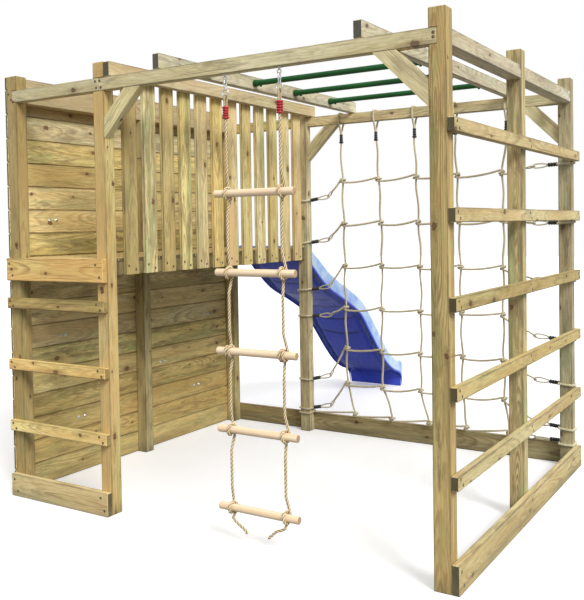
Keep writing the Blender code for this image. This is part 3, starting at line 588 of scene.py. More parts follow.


# name, direction of the grain, direction across, olive, warm, figure, shade, lightness
# The lightness is partly each piece's own tone and partly painted light and shade
TIMBERS = """
    post_front_left z y 0.25 0.55 1.0 straw 0.75
    post_front_middle z y 0.15 0.65 0.8 straw 1.05
    post_front_right z x 0.85 0.45 1.8 straw 0.95
    post_right_middle z x 1.0 0.20 2.3 pale 1.10
    post_back_right z x 0.60 0.10 0.9 cream 0.80
    post_back_middle z x 0.55 0.15 0.7 cream 1.10
    post_back_left z y 0.55 0.15 0.8 straw 0.90
    post_left_middle z y 0.45 0.10 0.8 pale 0.90
    front_beam_left x z 0.10 0.05 0.28 cream 0.95
    front_beam_right x z 0.12 0.05 0.28 cream 1.10
    back_beam_left x z 0.40 0.15 0.9 straw 0.95
    back_beam_right x z 0.40 0.15 0.9 cream 1.25
    cross_beam_1 y z 0.05 0.45 0.6 cream 1.00
    cross_beam_2 y z 0.35 0.20 0.7 bleached 1.05
    cross_beam_3 y z 0.15 0.30 0.8 bleached 1.00
    left_top_beam y z 0.15 0.50 0.9 cream 0.80
    right_end_beam_front y z 0.30 0.30 0.8 bleached 1.05
    right_end_beam_back y z 0.30 0.25 0.9 bleached 1.05
    brace_front_middle rise y 0.12 0.05 0.45 pale 1.15
    brace_front_right fall y 0.15 0.10 0.5 cream 1.20
    brace_back_middle rise y 0.40 0.10 0.7 cream 1.40
    brace_back_right fall y 0.40 0.10 0.7 cream 1.40
    left_base_board x z 0.25 0.40 1.0 pale 1.20
    left_rung_1 x z 0.15 0.50 0.9 straw 1.45
    left_rung_2 x z 0.20 0.45 0.9 amber 1.45
    left_rung_3 x z 0.35 0.30 1.0 amber 0.85
    deck_fascia x z 0.10 0.65 1.1 amber 1.30
    back_base_board x z 0.35 0.20 1.1 pale 0.85
    right_base_board y z 0.20 0.30 0.9 pale 1.05
    right_rung_1 y z 0.08 0.35 0.7 pale 1.00
    right_rung_2 y z 0.08 0.45 0.6 straw 0.95
    right_rung_3 y z 0.06 0.40 0.7 straw 0.80
    right_rung_4 y z 0.05 0.45 0.6 pale 1.05
    right_rung_5 y z 0.08 0.40 0.8 pale 1.00
"""
# How far the sawn ends are as pale as the faces
ENDS = {"deck_fascia": 0.8, "left_rung_3": 0.8, "left_rung_2": 0.3, "left_rung_1": 0.3}


def dress(name, finish):
    """Give a CAD node a finish. Its mesh stays as it is."""
    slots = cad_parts[name].data.materials
    if not slots:
        slots.append(finish)
    for number in range(len(slots)):
        slots[number] = finish


def soften(name):
    """Round a CAD timber's arrises a little more with modifiers."""
    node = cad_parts[name]
    node.modifiers.new("weld", "WELD").merge_threshold = 0.00005
    edge = node.modifiers.new("rounded", "BEVEL")
    edge.width = 0.0010
    edge.segments = 2
    edge.limit_method = "ANGLE"
    edge.angle_limit = math.radians(25)
    edge.harden_normals = True


timbers = [line.split() for line in TIMBERS.strip().splitlines()]
for number, (name, run, across, olive, warm, figure, *tone) in enumerate(timbers):
    low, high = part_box(name)
    run, across = Vector(WAYS[run]), Vector(WAYS[across])
    half = (1, 1, 0)
    if "brace" not in name:
        size = high - low
        half = (abs(size.dot(across)) / 2, abs(size.dot(run.cross(across))) / 2, 0)
    values = ((low + high) / 2, run, across, 1.0 + 1.37 * number, float(olive), float(warm))
    values += (float(figure), shade(*tone), float("post" in name), ENDS.get(name, 0.0), half)
    dress(name, pine_finish("pine_" + name, *values))
    soften(name)
print(len(timbers), "lengths of timber have a finish")

# %% [markdown]
# ### The boarded wall, the deck and the slats
# These three are single solids in the CAD model, because glued or nailed boards move as
# one. To the eye they are many boards, and no two have the same grain. Each is rebuilt
# from separate boards with eased edges. A board stores its own middle, seed and stains as
# attributes on its points, and the pine group reads them, so one material serves a whole
# wall of different boards. The wall boards have a V at each joint with the tongue at its
# bottom, and the tongue is painted dark, as painted shade and dirt down in the joint, which
# draws the fine dark lines.

# %% Boards
BOARD_VECTORS = ("board_centre", "board_half", "board_tint")
BOARD_VALUES = ("board_seed", "board_olive", "board_warm")


def begin_boards():
    work = bmesh.new()
    for label in BOARD_VECTORS:
        work.verts.layers.float_vector.new(label)
    for label in BOARD_VALUES:
        work.verts.layers.float.new(label)
    return work


def ease_board(work, known, middle, size, ease, values, tint, steps=2):
    """Bevel what was added since known, and keep the board's numbers on its points."""
    made = [vert for vert in work.verts if vert not in known]
    edges = list({edge for vert in made for edge in vert.link_edges})
    bmesh.ops.bevel(work, geom=edges, offset=ease, segments=steps, affect="EDGES", profile=0.5)
    half = (*(part / 2 for part in sorted(size, reverse=True)[1:]), 0)
    layers = work.verts.layers
    for vert in set(work.verts) - known:
        for label, value in zip(BOARD_VECTORS, (middle, half, tint)):
            vert[layers.float_vector[label]] = value
        for label, value in zip(BOARD_VALUES, values):
            vert[layers.float[label]] = value


def add_board(work, low, high, *rest):
    """A board with eased edges."""
    known, low, high = set(work.verts), Vector(low), Vector(high)
    middle, size = (low + high) / 2, high - low
    bmesh.ops.create_cube(work, size=1, matrix=Matrix.LocRotScale(middle, None, size))
    ease_board(work, known, middle, size, *rest)


def finish_boards(work, name, finish, run, across, figure, replaced=()):
    values = ("board_centre", WAYS[run], WAYS[across], *BOARD_VALUES, figure, "board_tint")
    finish = pine_finish(finish, *values, 0.0, 0.0, "board_half")
    return put(name, mesh_of(name, work), finish, "pine", replaced)


print("boards keep", len(BOARD_VECTORS) + len(BOARD_VALUES), "values on their points")

# %% [markdown]
# ### The wall and the slats
# The wall has eighteen boards and the panel has twelve slats. How light, stained and warm
# each one is can be set in two short tables, which are easier to read than code. Their
# lightness is partly each board's own tone and partly painted light and shade, and the
# seventeenth wall board, just under the top beam, is painted dark as the shadow that the
# beam casts on the wall. The slats stand a hair higher or lower than their neighbours, as
# sawn slats do.

# %% Wall and slats
# Shade, lightness and stain of each wall board from the ground up
# The seventeenth board, cream 0.70, is painted shadow under the top beam
WALL_BOARDS = """
    straw 1.25 0.3, amber 1.15 0.5, amber 1.00 0.2, amber 1.00 0.6, straw 1.20 0.35,
    straw 1.35 0.7, pale 1.10 0.25, pale 1.25 0.4, pale 1.15 0.55, amber 1.05 0.3,
    straw 1.15 0.7, pale 1.45 0.45, pale 1.45 0.55, straw 1.00 0.25, straw 1.20 0.5,
    cream 1.15 0.6, cream 0.70 0.2, straw 0.70 0.5
"""
# Shade, lightness, olive and warm of each slat from the front
# The lightness is partly each slat's own tone and partly painted light and shade
SLATS = """
    straw 0.85 0.35 0.45, pale 1.45 0.75 0.05, straw 1.05 0.15 0.35, straw 1.45 0.85 0.0,
    pale 1.25 0.45 0.30, amber 1.35 0.30 0.15, pale 1.30 0.25 0.85, straw 1.25 0.40 0.20,
    pale 1.35 0.60 0.15, straw 1.15 0.30 0.25, pale 1.35 0.45 0.20, pale 1.30 0.20 0.50
"""
WALL_PITCH = 0.126
SLAT_PITCH, SLAT_WIDTH, SLAT_DEPTH, SLAT_START = 0.1484, 0.098, 0.018, 0.0648


def build_wall():
    low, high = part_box("wall_boards")
    work = begin_boards()
    for number, board in enumerate(WALL_BOARDS.split(",")):
        kind, light, stain = board.split()
        stain, seed = float(stain), 50.3 + 2.71 * number
        bottom, top = number * WALL_PITCH, min((number + 1) * WALL_PITCH, high.z)
        ends = (low.x, low.y, bottom + 0.0004), (high.x, high.y, top - 0.0004)
        add_board(work, *ends, 0.0042, (seed, stain, 0.8 * (0.75 - stain)), shade(kind, light), 1)
        if number:
            tongue = (low.x + 0.0055, low.y + 0.004, bottom - 0.007)
            tongue = tongue, (high.x - 0.0055, high.y - 0.004, bottom + 0.007)
            # The tongue's dark tint is painted shade, with some dirt, down in the joint
            add_board(work, *tongue, 0.0004, (seed, 0.6, 0.1), (0.34, 0.29, 0.24), 1)
    return finish_boards(work, "wall_boards", "pine_wall", "y", "z", 0.95, ["wall_boards"])


def build_slats():
    low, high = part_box("slat_panel")
    work = begin_boards()
    for number, slat in enumerate(SLATS.split(",")):
        kind, light, olive, warm = slat.split()
        near = corner.y + 0.07 + SLAT_START + number * SLAT_PITCH
        lift = 0.0012 * math.sin(2.3 * number)
        values = (90.1 + 3.13 * number, float(olive), float(warm))
        start = (high.x - SLAT_DEPTH, near, low.z + 0.001 + lift)
        end = (high.x, near + SLAT_WIDTH, high.z - 0.001 + lift)
        add_board(work, start, end, 0.0028, values, shade(kind, light))
    joist = (low.x, low.y, 1.172), (high.x - SLAT_DEPTH, high.y, 1.2384)
    add_board(work, *joist, 0.003, (133.0, 0.6, 0.1), (0.8, 0.8, 0.8))
    return finish_boards(work, "slat_panel", "pine_slats", "z", "y", 1.0, ["slat_panel"])


for label, made in (("wall", build_wall()), ("slats", build_slats())):
    print(len(made.data.polygons), "faces in the", label)

# %% [markdown]
# ### The deck
# The deck boards are cut out round the posts. So the outline of a board is drawn in the
# plan first, with a step wherever a post stands, and then raised to a solid. The ledger,
# the joist and the rim under the deck are plain boards.

# %% Deck
DECK_BOARDS, DECK_LENGTH, DECK_FOOT, DECK_TOP = 19, 1.965, 1.2395, 1.257


def notched(near, far, posts, plain, cut):
    """One side of a deck board: (x, y) pairs, stepping in where a post stands."""
    stops = sorted({near, far} | {y for pair in posts for y in pair if near < y < far})
    side = []
    for start, end in zip(stops, stops[1:]):
        x = cut if any(a < (start + end) / 2 < b for a, b in posts) else plain
        side += [(x, start), (x, end)]
    return [point for point, last in zip(side, [None, *side]) if point != last]


def build_deck():
    """Nineteen boards along X, notched round the posts, and the timbers under them."""
    low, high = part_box("deck")
    work = begin_boards()
    pitch = DECK_LENGTH / DECK_BOARDS
    left = ((0, 0.0705), (0.9645, 1.0355), (1.9295, 2.0005))
    right = (left[0], left[2])
    begin = (low + high).y / 2 - corner.y - DECK_LENGTH / 2
    for number in range(DECK_BOARDS):
        near, far = begin + number * pitch + 0.0025, begin + (number + 1) * pitch - 0.0025
        outline = notched(near, far, left, 0.0008, 0.0705)
        outline += notched(near, far, right, 0.6710, 0.6195)[::-1]
        known = set(work.verts)
        lower, upper = (
            [work.verts.new(spot(x, y, z)) for x, y in outline] for z in (DECK_FOOT, DECK_TOP)
        )
        work.faces.new(lower[::-1])
        work.faces.new(upper)
        for n in range(len(outline)):
            work.faces.new((lower[n - 1], lower[n], upper[n], upper[n - 1]))
        middle, size = spot(0.336, (near + far) / 2, 1.248), Vector((0.67, far - near, 0.018))
        # The boards' lightness is partly their own tone and partly painted light, and varies a
        # little
        light = 1.34 + 0.10 * math.sin(2.9 * number)
        values, tint = (201.7 + 1.93 * number, 0.25, 0.3), (light, light, 1.05 * light)
        ease_board(work, known, middle, size, 0.0016, values, tint)
    bmesh.ops.recalc_face_normals(work, faces=work.faces)
    boards = finish_boards(work, "deck", "pine_deck", "x", "y", 0.9, ["deck"])
    work = begin_boards()
    # Two lengths of ledger and the middle joist: from x and y to x and y
    lengths = (
        (0.004, 0.074, 0.045, 0.9645), (0.004, 1.0355, 0.045, 1.9255),
        (0.3225, 0.074, 0.3675, 1.8845),
    )
    for number, (x0, y0, x1, y1) in enumerate(lengths):
        ends = spot(x0, y0, 1.1725), spot(x1, y1, 1.239)
        add_board(work, *ends, 0.0025, (251.0 + number, 0.5, 0.1), (0.82, 0.80, 0.78))
    finish_boards(work, "deck_joists", "pine_joists", "y", "x", 0.9)
    work, ends = begin_boards(), (spot(0.0705, 1.886, 1.1745), spot(0.616, 1.960, 1.239))
    add_board(work, *ends, 0.0025, (261.0, 0.4, 0.2), (0.85, 0.83, 0.80))
    finish_boards(work, "deck_rim", "pine_rim", "x", "y", 0.9)
    return boards


print(len(build_deck().data.polygons), "faces in the deck")

# %% [markdown]
# ## The slide
# A slide like this is moulded from one sheet of plastic: a bed that dips, levels out and
# dips again, with walls that lean out and rims that roll over. Its section hardly changes,
# so it is a loft. One line runs along the bed and another along the rims, and each section
# hangs between the two. The folds under the bed are pressed into the loft, and a solidify
# modifier gives the sheet its thickness.

# %% Slide
# For the bed and then for the rim: how far along, and how high, as shares of the whole
SLIDE_LINES = (
    ((0.014, 0.9720), (0.040, 1.000)), ((0.100, 0.8700), (0.130, 0.938)),
    ((0.229, 0.7440), (0.262, 0.820)), ((0.400, 0.6440), (0.425, 0.720)),
    ((0.529, 0.5570), (0.560, 0.630)), ((0.618, 0.4420), (0.665, 0.500)),
    ((0.718, 0.3060), (0.765, 0.362)), ((0.812, 0.1950), (0.850, 0.255)),
    ((0.894, 0.1310), (0.918, 0.200)), ((0.953, 0.1030), (0.966, 0.178)),
    ((0.988, 0.0680), (0.990, 0.172)), ((1.000, 0.0030), (0.996, 0.168)),
)
# From the outer edge to the middle: how far in, and where between the bed and the rim
HALF_SECTION = (
    (0.000, 0.02), (0.000, 0.50), (0.000, 0.97), (0.009, 1.03), (0.020, 1.03), (0.029, 0.97),
    (0.037, 0.50), (0.047, 0.16), (0.070, 0.02), (0.110, 0.0), (0.160, 0.0), (0.2465, 0.0),
)
FOLDS = (0.19, 0.28, 0.37, 0.46, 0.565, 0.64)
SLIDE_START, SLIDE_RUN, SLIDE_HALF, FOLD_WIDTH = 2.0, 1.694, 0.2465, 0.0085


def slide_line(side, rises):
    points = [(0, y, DECK_TOP + rise) for y, rise in zip((1.865, 1.932, 1.969), rises)]
    for pair in SLIDE_LINES:
        points.append((0, SLIDE_START + pair[side][0] * SLIDE_RUN, DECK_TOP * pair[side][1]))
    return smooth_path([spot(*point) for point in points], 22)


def build_slide():
    beds, rims = slide_line(0, (0, 0, 0)), slide_line(1, (0.005, 0.005, 0.004))
    middle = spot(0.345, 0, 0).x
    section = smooth_path([(inset, share, 0) for inset, share in HALF_SECTION], 3)
    across = [(inset - SLIDE_HALF, share) for inset, share, _ in section]
    across += [(-x, share) for x, share in across[-2::-1]]
    work, rows = bmesh.new(), []
    crease = work.verts.layers.float.new("crease")
    side = work.verts.layers.float.new("slide_side")
    for bed, rim in zip(beds, rims):
        run = (bed[1] - spot(0, SLIDE_START, 0).y) / SLIDE_RUN
        # The walls' skirts and the bed widen at the exit
        out = max(0.0, min(1.0, (run - 0.955) / 0.03))
        row = []
        for x, share in across:
            if share < 0.6:
                x = math.copysign(SLIDE_HALF - (SLIDE_HALF - abs(x)) * (1 - 0.88 * out), x)
            bow = run + 0.018 * (x / 0.18) ** 2
            dent = max(math.exp(-(((bow - fold) * SLIDE_RUN / FOLD_WIDTH) ** 2)) for fold in FOLDS)
            dent *= min(1.0, 3 * max(0.0, 1 - abs(x) / 0.20))
            y, z = (bed[k] + share * (rim[k] - bed[k]) for k in (1, 2))
            vert = work.verts.new((middle + x, y, z + 0.004 * dent))
            vert[crease], vert[side] = dent, share
            row.append(vert)
        rows.append(row)
    for upper, lower in zip(rows, rows[1:]):
        for corners in zip(upper, upper[1:], lower[1:], lower):
            work.faces.new(corners)
    work.normal_update()
    if sum(face.normal.z * face.calc_area() for face in work.faces) > 0:
        bmesh.ops.reverse_faces(work, faces=work.faces)
    return mesh_of("slide", work)


print("the slide takes", SLIDE_RUN, "m of ground")

# %% [markdown]
# ### Slide plastic
# Blue plastic is never one blue. The bed has soft clouds of two blues and scuffs that run
# down it. The folds are painted dark as painted shade, the bends down to the walls get
# painted shade too, and the walls that face the sun are painted far paler, as painted light
# that comes through and onto them. The slide's mesh keeps two values on its points, how
# deep a fold is and how far up a wall a point lies, and the finish reads both.

# %% Slide plastic
def slide_plastic():
    material = new_material("slide_plastic")
    where = Node("TexCoord")
    place, facing = where["Object"], split(where["Normal"])
    cloud, grainy = noise(place, 3.2, 4.0, 0.6), noise(place, 420.0)
    rub, blot = drawn(place, 60, 3.5, 4.0, 0.65), drawn(place, 16, 7, 4.0, 0.6)
    # Painted shade: the bends to the walls are darker than the middle of the bed
    bend = fade(abs(facing[0]), 0.08, 0.5, 0.0, 0.6)
    # Painted light: the walls that face the sun are far paler than the bed
    painted_wall_light = fade(stored("slide_side"), 0.10, 0.30) * fade(facing[0], 0.25, 0.60)
    pale = mix(fade(blot, 0.35, 0.65), (0.34, 0.52, 0.98), (0.62, 0.80, 1.0))
    scuff = fade(rub, 0.60, 0.78) * fade(blot, 0.50, 0.70)
    colour = painted(
        mix(fade(cloud, 0.3, 0.7), (0.070, 0.110, 0.88), (0.105, 0.165, 0.97)),
        (bend, (0.042, 0.066, 0.64)),
        (painted_wall_light, pale),
        # Painted shade in the folds under the bed
        (stored("crease") * 0.85, (0.010, 0.010, 0.09)),
        (scuff * 0.55, (0.30, 0.38, 0.66)),
    )
    rough = mul_add(scuff, 0.3, fade(blot, 0.3, 0.7, 0.24, 0.42))
    return surface(material, colour, rough, mul_add(rub, 0.6, grainy * 0.25), 0.0006, 0.6, 0.28)


slide = put("slide", build_slide(), slide_plastic(), "slide_blue", ["slide"], smooth=True)
shell = slide.modifiers.new("sheet", "SOLIDIFY")
shell.thickness = 0.006
shell.offset = -1
print("slide", len(slide.data.polygons), "faces before its thickness")

# %% [markdown]
# ## Turned and bent pieces
# Bars, rungs, ferrules and bolts are round, so each is a profile turned about an axis. A
# modifier could do the turning, but writing the rings directly lets the profile carry the
# small things that sell a round piece: a rolled edge, a waist, a slightly uneven rung.
# Rings and links are round wire along a closed path.

# %% Turned and bent helpers
def ring_faces(rings, sides, closed):
    faces = []
    for row in range(rings if closed else rings - 1):
        low, high = row * sides, (row + 1) % rings * sides
        for k in range(sides):
            after = (k + 1) % sides
            faces.append((low + k, low + after, high + after, high + k))
    return faces


def turned(profile, sides, wobble=0.0):
    """Points and faces of a profile (radius, height) turned about Z."""
    radius, height = np.array(profile, float).T[..., None]
    angle = circle(sides)
    radius = radius * (1 + wobble * np.sin(angle * 2 + 9 * height) * (radius > 1e-6))
    points = np.stack([radius * np.cos(angle), radius * np.sin(angle), height + 0 * angle], -1)
    return points.reshape(-1, 3), ring_faces(len(profile), sides, False)


def mirrored(middle, side):
    """A profile that ends in the same way on both sides of its middle."""
    return [(r, -h) for r, h in side[::-1]] + middle + side


def oval(centre, half_width, half_height, plane="XZ", count=40):
    """Points round an oval that stands in the XZ or the YZ plane."""
    across, rise = half_width * np.cos(circle(count)), half_height * np.sin(circle(count))
    rim = (across, 0 * rise, rise) if plane == "XZ" else (0 * rise, across, rise)
    return np.array(centre) + np.stack(rim, axis=1)


def bent(path, radius, sides=12):
    """Points and faces of a round wire along a flat closed path."""
    around = np.concatenate([path[-1:], path, path[:1]])
    ahead = around[2:] - around[:-2]
    ahead /= np.linalg.norm(ahead, axis=1)[:, None]
    flat = np.cross(path[1] - path[0], path[len(path) // 4] - path[0])
    flat /= np.linalg.norm(flat)
    side, angle = np.cross(ahead, flat)[:, None, :], circle(sides)[None, :, None]
    points = path[:, None, :] + radius * (side * np.cos(angle) + flat * np.sin(angle))
    return points.reshape(-1, 3), ring_faces(len(path), sides, True)


def moved(shape, place, lying=False):
    """The same shape, laid along X or left upright, and moved to a place."""
    points, faces = shape
    if lying:
        points = points[:, (2, 1, 0)] * (1, -1, 1)
    return points + np.array(place, float), faces


def joined(name, shapes):
    """One mesh of many shapes, with doubled points merged."""
    points, faces, start = [], [], 0
    for more, more_faces in shapes:
        points.append(more)
        faces += [tuple(start + point for point in face) for face in more_faces]
        start += len(more)
    mesh = bpy.data.meshes.new(name)
    mesh.from_pydata(np.concatenate(points).tolist(), [], faces)
    work = bmesh.new()
    work.from_mesh(mesh)
    bmesh.ops.remove_doubles(work, verts=work.verts, dist=0.000001)
    bmesh.ops.recalc_face_normals(work, faces=work.faces)
    work.to_mesh(mesh)
    work.free()
    return mesh


print("profiles can be turned and wire can be bent")

# %% [markdown]
# ### Monkey bars and rungs
# The bars are steel with a thick green powder coat, which has a faint orange peel. Each
# end swells into a rounded foot against its beam, with a screw boss below. The ladder's
# rungs are smooth turned hardwood, pale and pinkish, a little uneven from sanding, with a
# soft edge and visible rings on their sawn ends.

# %% Monkey bars and rungs
def powder_coat():
    material = new_material("bar_green")
    place = coordinates()
    cloud = noise(place, 7.0, 3.0)
    wear = fade(drawn(place, 14, 60, 5.0, 0.7), 0.68, 0.74)
    colour = mix(fade(cloud, 0.3, 0.7), (0.003, 0.070, 0.011), (0.006, 0.100, 0.019))
    colour = mix(wear * 0.35, colour, (0.04, 0.17, 0.07))
    rough = fade(cloud, 0.3, 0.7, 0.30, 0.48)
    return surface(material, colour, rough, noise(place, 260.0), 0.0004, 0.5, 0.3)


def rung_wood(name, seed):
    """Pale turned hardwood: straight fibres along X and rings on the ends."""
    material = new_material(name)
    where = Node("TexCoord")
    low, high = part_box(name)
    middle = low + (high - low) / 2 + Vector((seed, 0, 0))
    local = vector_calc("SUBTRACT", where["Object"], middle)
    fibre, band = drawn(local, 9, 420, 3.0, 0.6), drawn(local, 2.2, 60, 3.0)
    off = split(vector_calc("ADD", local, (0, 0.004 - 0.01 * math.sin(seed), 0.006)))
    ring = calc("FRACT", mul_add(hypot(off[1], off[2]), 420.0, band * 2.2))
    end = fade(abs(split(where["Normal"])[0]), 0.6, 0.9)
    colour = painted(
        mix(fade(band, 0.35, 0.68), (0.98, 0.80, 0.56), (0.90, 0.665, 0.42)),
        (fade(ring, 0.35, 0.95) * 0.32, (0.74, 0.50, 0.29)),
        (fade(fibre, 0.5, 0.75, 0.0, 0.35), (0.62, 0.41, 0.23)),
        (end * 0.8, (0.42, 0.25, 0.12)),
    )
    return surface(material, colour, fade(fibre, 0.3, 0.7, 0.42, 0.60), fibre, 0.0004, 0.5)


BOSS = [
    (0, -0.0223), (0.0050, -0.0218), (0.0068, -0.0200),
    (0.0070, -0.0120), (0.0092, -0.0100), (0.0092, -0.0060),
]


def build_bar(name):
    low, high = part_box(name)
    half, middle, z = (high.x - low.x) / 2, (low + high) / 2, high.z - 0.019
    shank = [(0.0150, -half + 0.036), (0.0152, 0), (0.0150, half - 0.036)]
    side = [
        (0.0192 - 0.0042 * (1 - math.cos(t)), half - 0.010 - 0.020 * math.sin(t))
        for t in (1.5, 1.2, 0.9, 0.6, 0.3, 0)
    ]
    side += [(0.0192, half - 0.005), (0.0178, half - 0.0016), (0.0155, half), (0.0, half)]
    shapes = [moved(turned(mirrored(shank, side), 40), (middle.x, middle.y, z), True)]
    for end in (-1, 1):
        shapes.append(moved(turned(BOSS, 20), (middle.x + end * (half - 0.042), middle.y, z)))
    return joined(name, shapes)


def build_rung(name, number):
    low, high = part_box(name)
    half = (high.x - low.x) / 2
    shank = [
        (0.0170 + 0.00012 * math.sin(31 * s + number), half * s)
        for s in np.linspace(-0.96, 0.96, 25)
    ]
    side = [
        (0.017 - 0.0032 * (1 - math.sin(t)), half - 0.0032 * (1 - math.cos(t)))
        for t in (1.57, 1.2, 0.8, 0.4, 0)
    ]
    side += [(0.006, half), (0, half)]
    rung = turned(mirrored(shank, side), 40, 0.006)
    return joined(name, [moved(rung, (low + high) / 2, True)])


bar_green = powder_coat()
for number in range(1, 5):
    name = f"monkey_bar_{number}"
    put(name, build_bar(name), bar_green, "bar_green", [name], smooth=True)
for number in range(1, 6):
    name = f"ladder_rung_{number}"
    body = "ladder_upper" if number <= 3 else "ladder_lower"
    finish = rung_wood(name, 0.37 * number)
    put(name, build_rung(name, number), finish, "rung_wood", [name], body, True)
print("four bars and five rungs")

# %% [markdown]
# ## Hanging hardware
# A screw eye under the beam carries a link and a ring on each side, all zinc plated. The
# rope's eye runs through the ring, and a red plastic ferrule of stacked discs closes it.
# Metal this small is read from its highlights, so the wire has to be properly round, and
# the finish mixes bright zinc with duller, greyer spots.

# %% Zinc and plastic finishes
def zinc_finish():
    material = new_material("zinc")
    place = coordinates()
    spangle = Node("TexVoronoi", {"Vector": place, "Scale": 260.0})["Color"]
    dull = noise(place, 90.0, 4.0, 0.65)
    colour = mix(0.25, (0.74, 0.74, 0.72), spangle, "MULTIPLY")
    colour = mix(fade(dull, 0.45, 0.75, 0.0, 0.7), colour, (0.26, 0.25, 0.23))
    rough = fade(dull, 0.3, 0.7, 0.22, 0.5)
    return surface(material, colour, rough, dull, 0.0004, 0.5, metallic=0.9)


def ferrule_finish(name, light, dark):
    """Moulded plastic with a fine matt grain, with painted shade where a valley is stored."""
    material = new_material(name)
    place = coordinates()
    cloud = noise(place, 45.0, 3.0)
    colour = mix(fade(cloud, 0.35, 0.68), light, dark)
    # Painted shade down in the grooves between the discs
    colour = mix(stored("valley") * 0.8, colour, [value * 0.25 for value in dark])
    rough = fade(cloud, 0.3, 0.7, 0.35, 0.5)
    return surface(material, colour, rough, noise(place, 900.0), 0.0003, 0.4)


zinc = zinc_finish()
red_plastic = ferrule_finish("ferrule_red", (0.56, 0.020, 0.030), (0.38, 0.010, 0.018))
black_plastic = ferrule_finish("ferrule_black", (0.022, 0.024, 0.024), (0.010, 0.011, 0.012))


def disc_profile(length, radius, waist, discs, swell):
    """Stacked discs. swell(share) scales each disc, for a waist or a bell end."""
    profile, pitch = [(0, length / 2)], length / discs
    for disc in range(discs):
        top = length / 2 - disc * pitch
        full = radius * swell((disc + 0.5) / discs)
        steps = [(full * 0.90, 0.02), (full, 0.14), (full, 0.62), (full * 0.9, 0.74)]
        if disc < discs - 1:
            steps += [(waist, 0.80), (waist, 0.96)]
        profile += [(size, top - share * pitch) for size, share in steps]
    return profile + [(0, -length / 2)]


print("zinc, red and black plastic ready")

# %% [markdown]
# ### Hangers, eyes and ferrules
# A hanger is a few small shapes joined: a turned plate and sleeve, and ovals of wire for
# the screw eye, the link and the ring. It stays with the beam. The rope's eye and its
# ferrule ride on the ladder, so they turn in the ring when the ladder swings.

# %% Ladder hangers, eyes and ferrules
ladder_y = spot(0, 0.0225, 0).y
FERRULE_WAIST = 0.0110
PLATE = (
    (0, 0), (0.0140, 0), (0.0140, -0.0022), (0.0128, -0.0030), (0.0070, -0.0032),
    (0.0062, -0.0044), (0.0048, -0.0050), (0.0046, -0.0120), (0, -0.0120),
)
SLEEVE = (
    (0, 0.0048), (0.0040, 0.0048), (0.0046, 0.0040),
    (0.0046, -0.0040), (0.0040, -0.0048), (0, -0.0048),
)


def build_hanger(name):
    """A plate and a screw eye, a link with its sleeve, and a ring."""
    low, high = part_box(name)
    x, y, top, swing_z = (low.x + high.x) / 2, ladder_y, high.z, low.z + 0.003
    ring_top, eye_foot = swing_z + 0.032, top - 0.0280
    link_z, half = (eye_foot + ring_top) / 2, (eye_foot - ring_top) / 2 + 0.0048
    shapes = [
        moved(turned(PLATE, 28), (x, y, top)),
        bent(oval((x, y, top - 0.0190), 0.0090, 0.0090), 0.0028),
        bent(oval((x, y, link_z), 0.0085, half, "YZ", 48), 0.0026),
        moved(turned(SLEEVE, 6), (x, y + 0.0085, link_z)),
        bent(oval((x, y, swing_z + 0.016), 0.016, 0.016, "XZ", 56), 0.0031, 14),
    ]
    return joined(name, shapes), Vector((x, y, swing_z))


def build_eye(name, ring_foot):
    """The rope's eye: down from the ring on both sides into the ferrule."""
    reach = 0.0084
    leg = [(0, reach, -0.050), (0, reach * 1.05, -0.030), (0, reach * 1.25, -0.012)]
    path = list(leg)
    for angle in np.linspace(0, math.pi, 13):
        path.append((0, reach * 1.02 * math.cos(angle), reach * math.sin(angle)))
    path += [(0, -y, z) for _, y, z in leg[::-1]]
    line = even_path([tuple(ring_foot + Vector(point)) for point in path], 0.003)
    return make_rope(name, [line], 0.005, 0.026, ladder_rope_finish, (), "ladder_upper", 0.8)


def waisted(share):
    return 0.86 + 0.56 * (share - 0.5) ** 2 * 1.1


def straight(share):
    return 0.93


def mark_valleys(mesh, place):
    """Store 1 on points down in a groove and 0 on the discs, for the finish."""
    layer = mesh.attributes.new("valley", "FLOAT", "POINT")
    for vert, item in zip(mesh.vertices, layer.data):
        far = math.hypot(vert.co.x - place.x, vert.co.y - place.y)
        item.value = float(far < FERRULE_WAIST * 1.08)


for side, swell in (("left", waisted), ("right", straight)):
    name = "ladder_hanger_" + side
    mesh, ring_foot = build_hanger(name)
    put(name, mesh, zinc, "zinc", [name], smooth=True)
    eye = build_eye("ladder_eye_" + side, ring_foot)
    ferrule = turned(disc_profile(0.056, 0.0160, FERRULE_WAIST, 5, swell), 32)
    place = ring_foot + Vector((0, 0, -0.072))
    mesh = joined("ladder_ferrule_" + side, [moved(ferrule, place)])
    mark_valleys(mesh, place)
    piece = put("ladder_ferrule_" + side, mesh, red_plastic, "rope", (), "ladder_upper", True)
print("two hangers with an eye and a ferrule each")

# %% [markdown]
# ## The rope ladder's ropes
# Each rope hangs from a ring under the front beam. It comes down behind a rung, goes
# under it, up its front, over the top and down its back once more, and so on to the last
# rung, where its tail hangs free. The path is a list of such pieces of line: straight
# lengths, and a turn and a bit round each rung. The ladder bends at its middle rung, so
# each side is two ropes. Both wind round that rung side by side, each about the rung's
# own middle, so they stay snug when the ladder bends.

# %% Rope ladder routes
RUNG_RADIUS, ROPE = 0.017, 0.0070
ROUND = RUNG_RADIUS + 0.0006 + ROPE
# How far above and below a rung's middle the rope is straight again
LEAVE = 0.090
TOUCH = math.degrees(math.acos(ROUND / LEAVE))
TAILS = {
    "left": ((0, 0), (0.004, -0.024), (0.030, -0.046), (0.062, -0.064), (0.078, -0.082)),
    "right": (
        (0, 0), (-0.004, -0.018), (-0.022, -0.032),
        (-0.048, -0.042), (-0.070, -0.060), (-0.094, -0.082),
    ),
}
rung_heights = [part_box(f"ladder_rung_{number}")[0].z + RUNG_RADIUS for number in range(1, 6)]


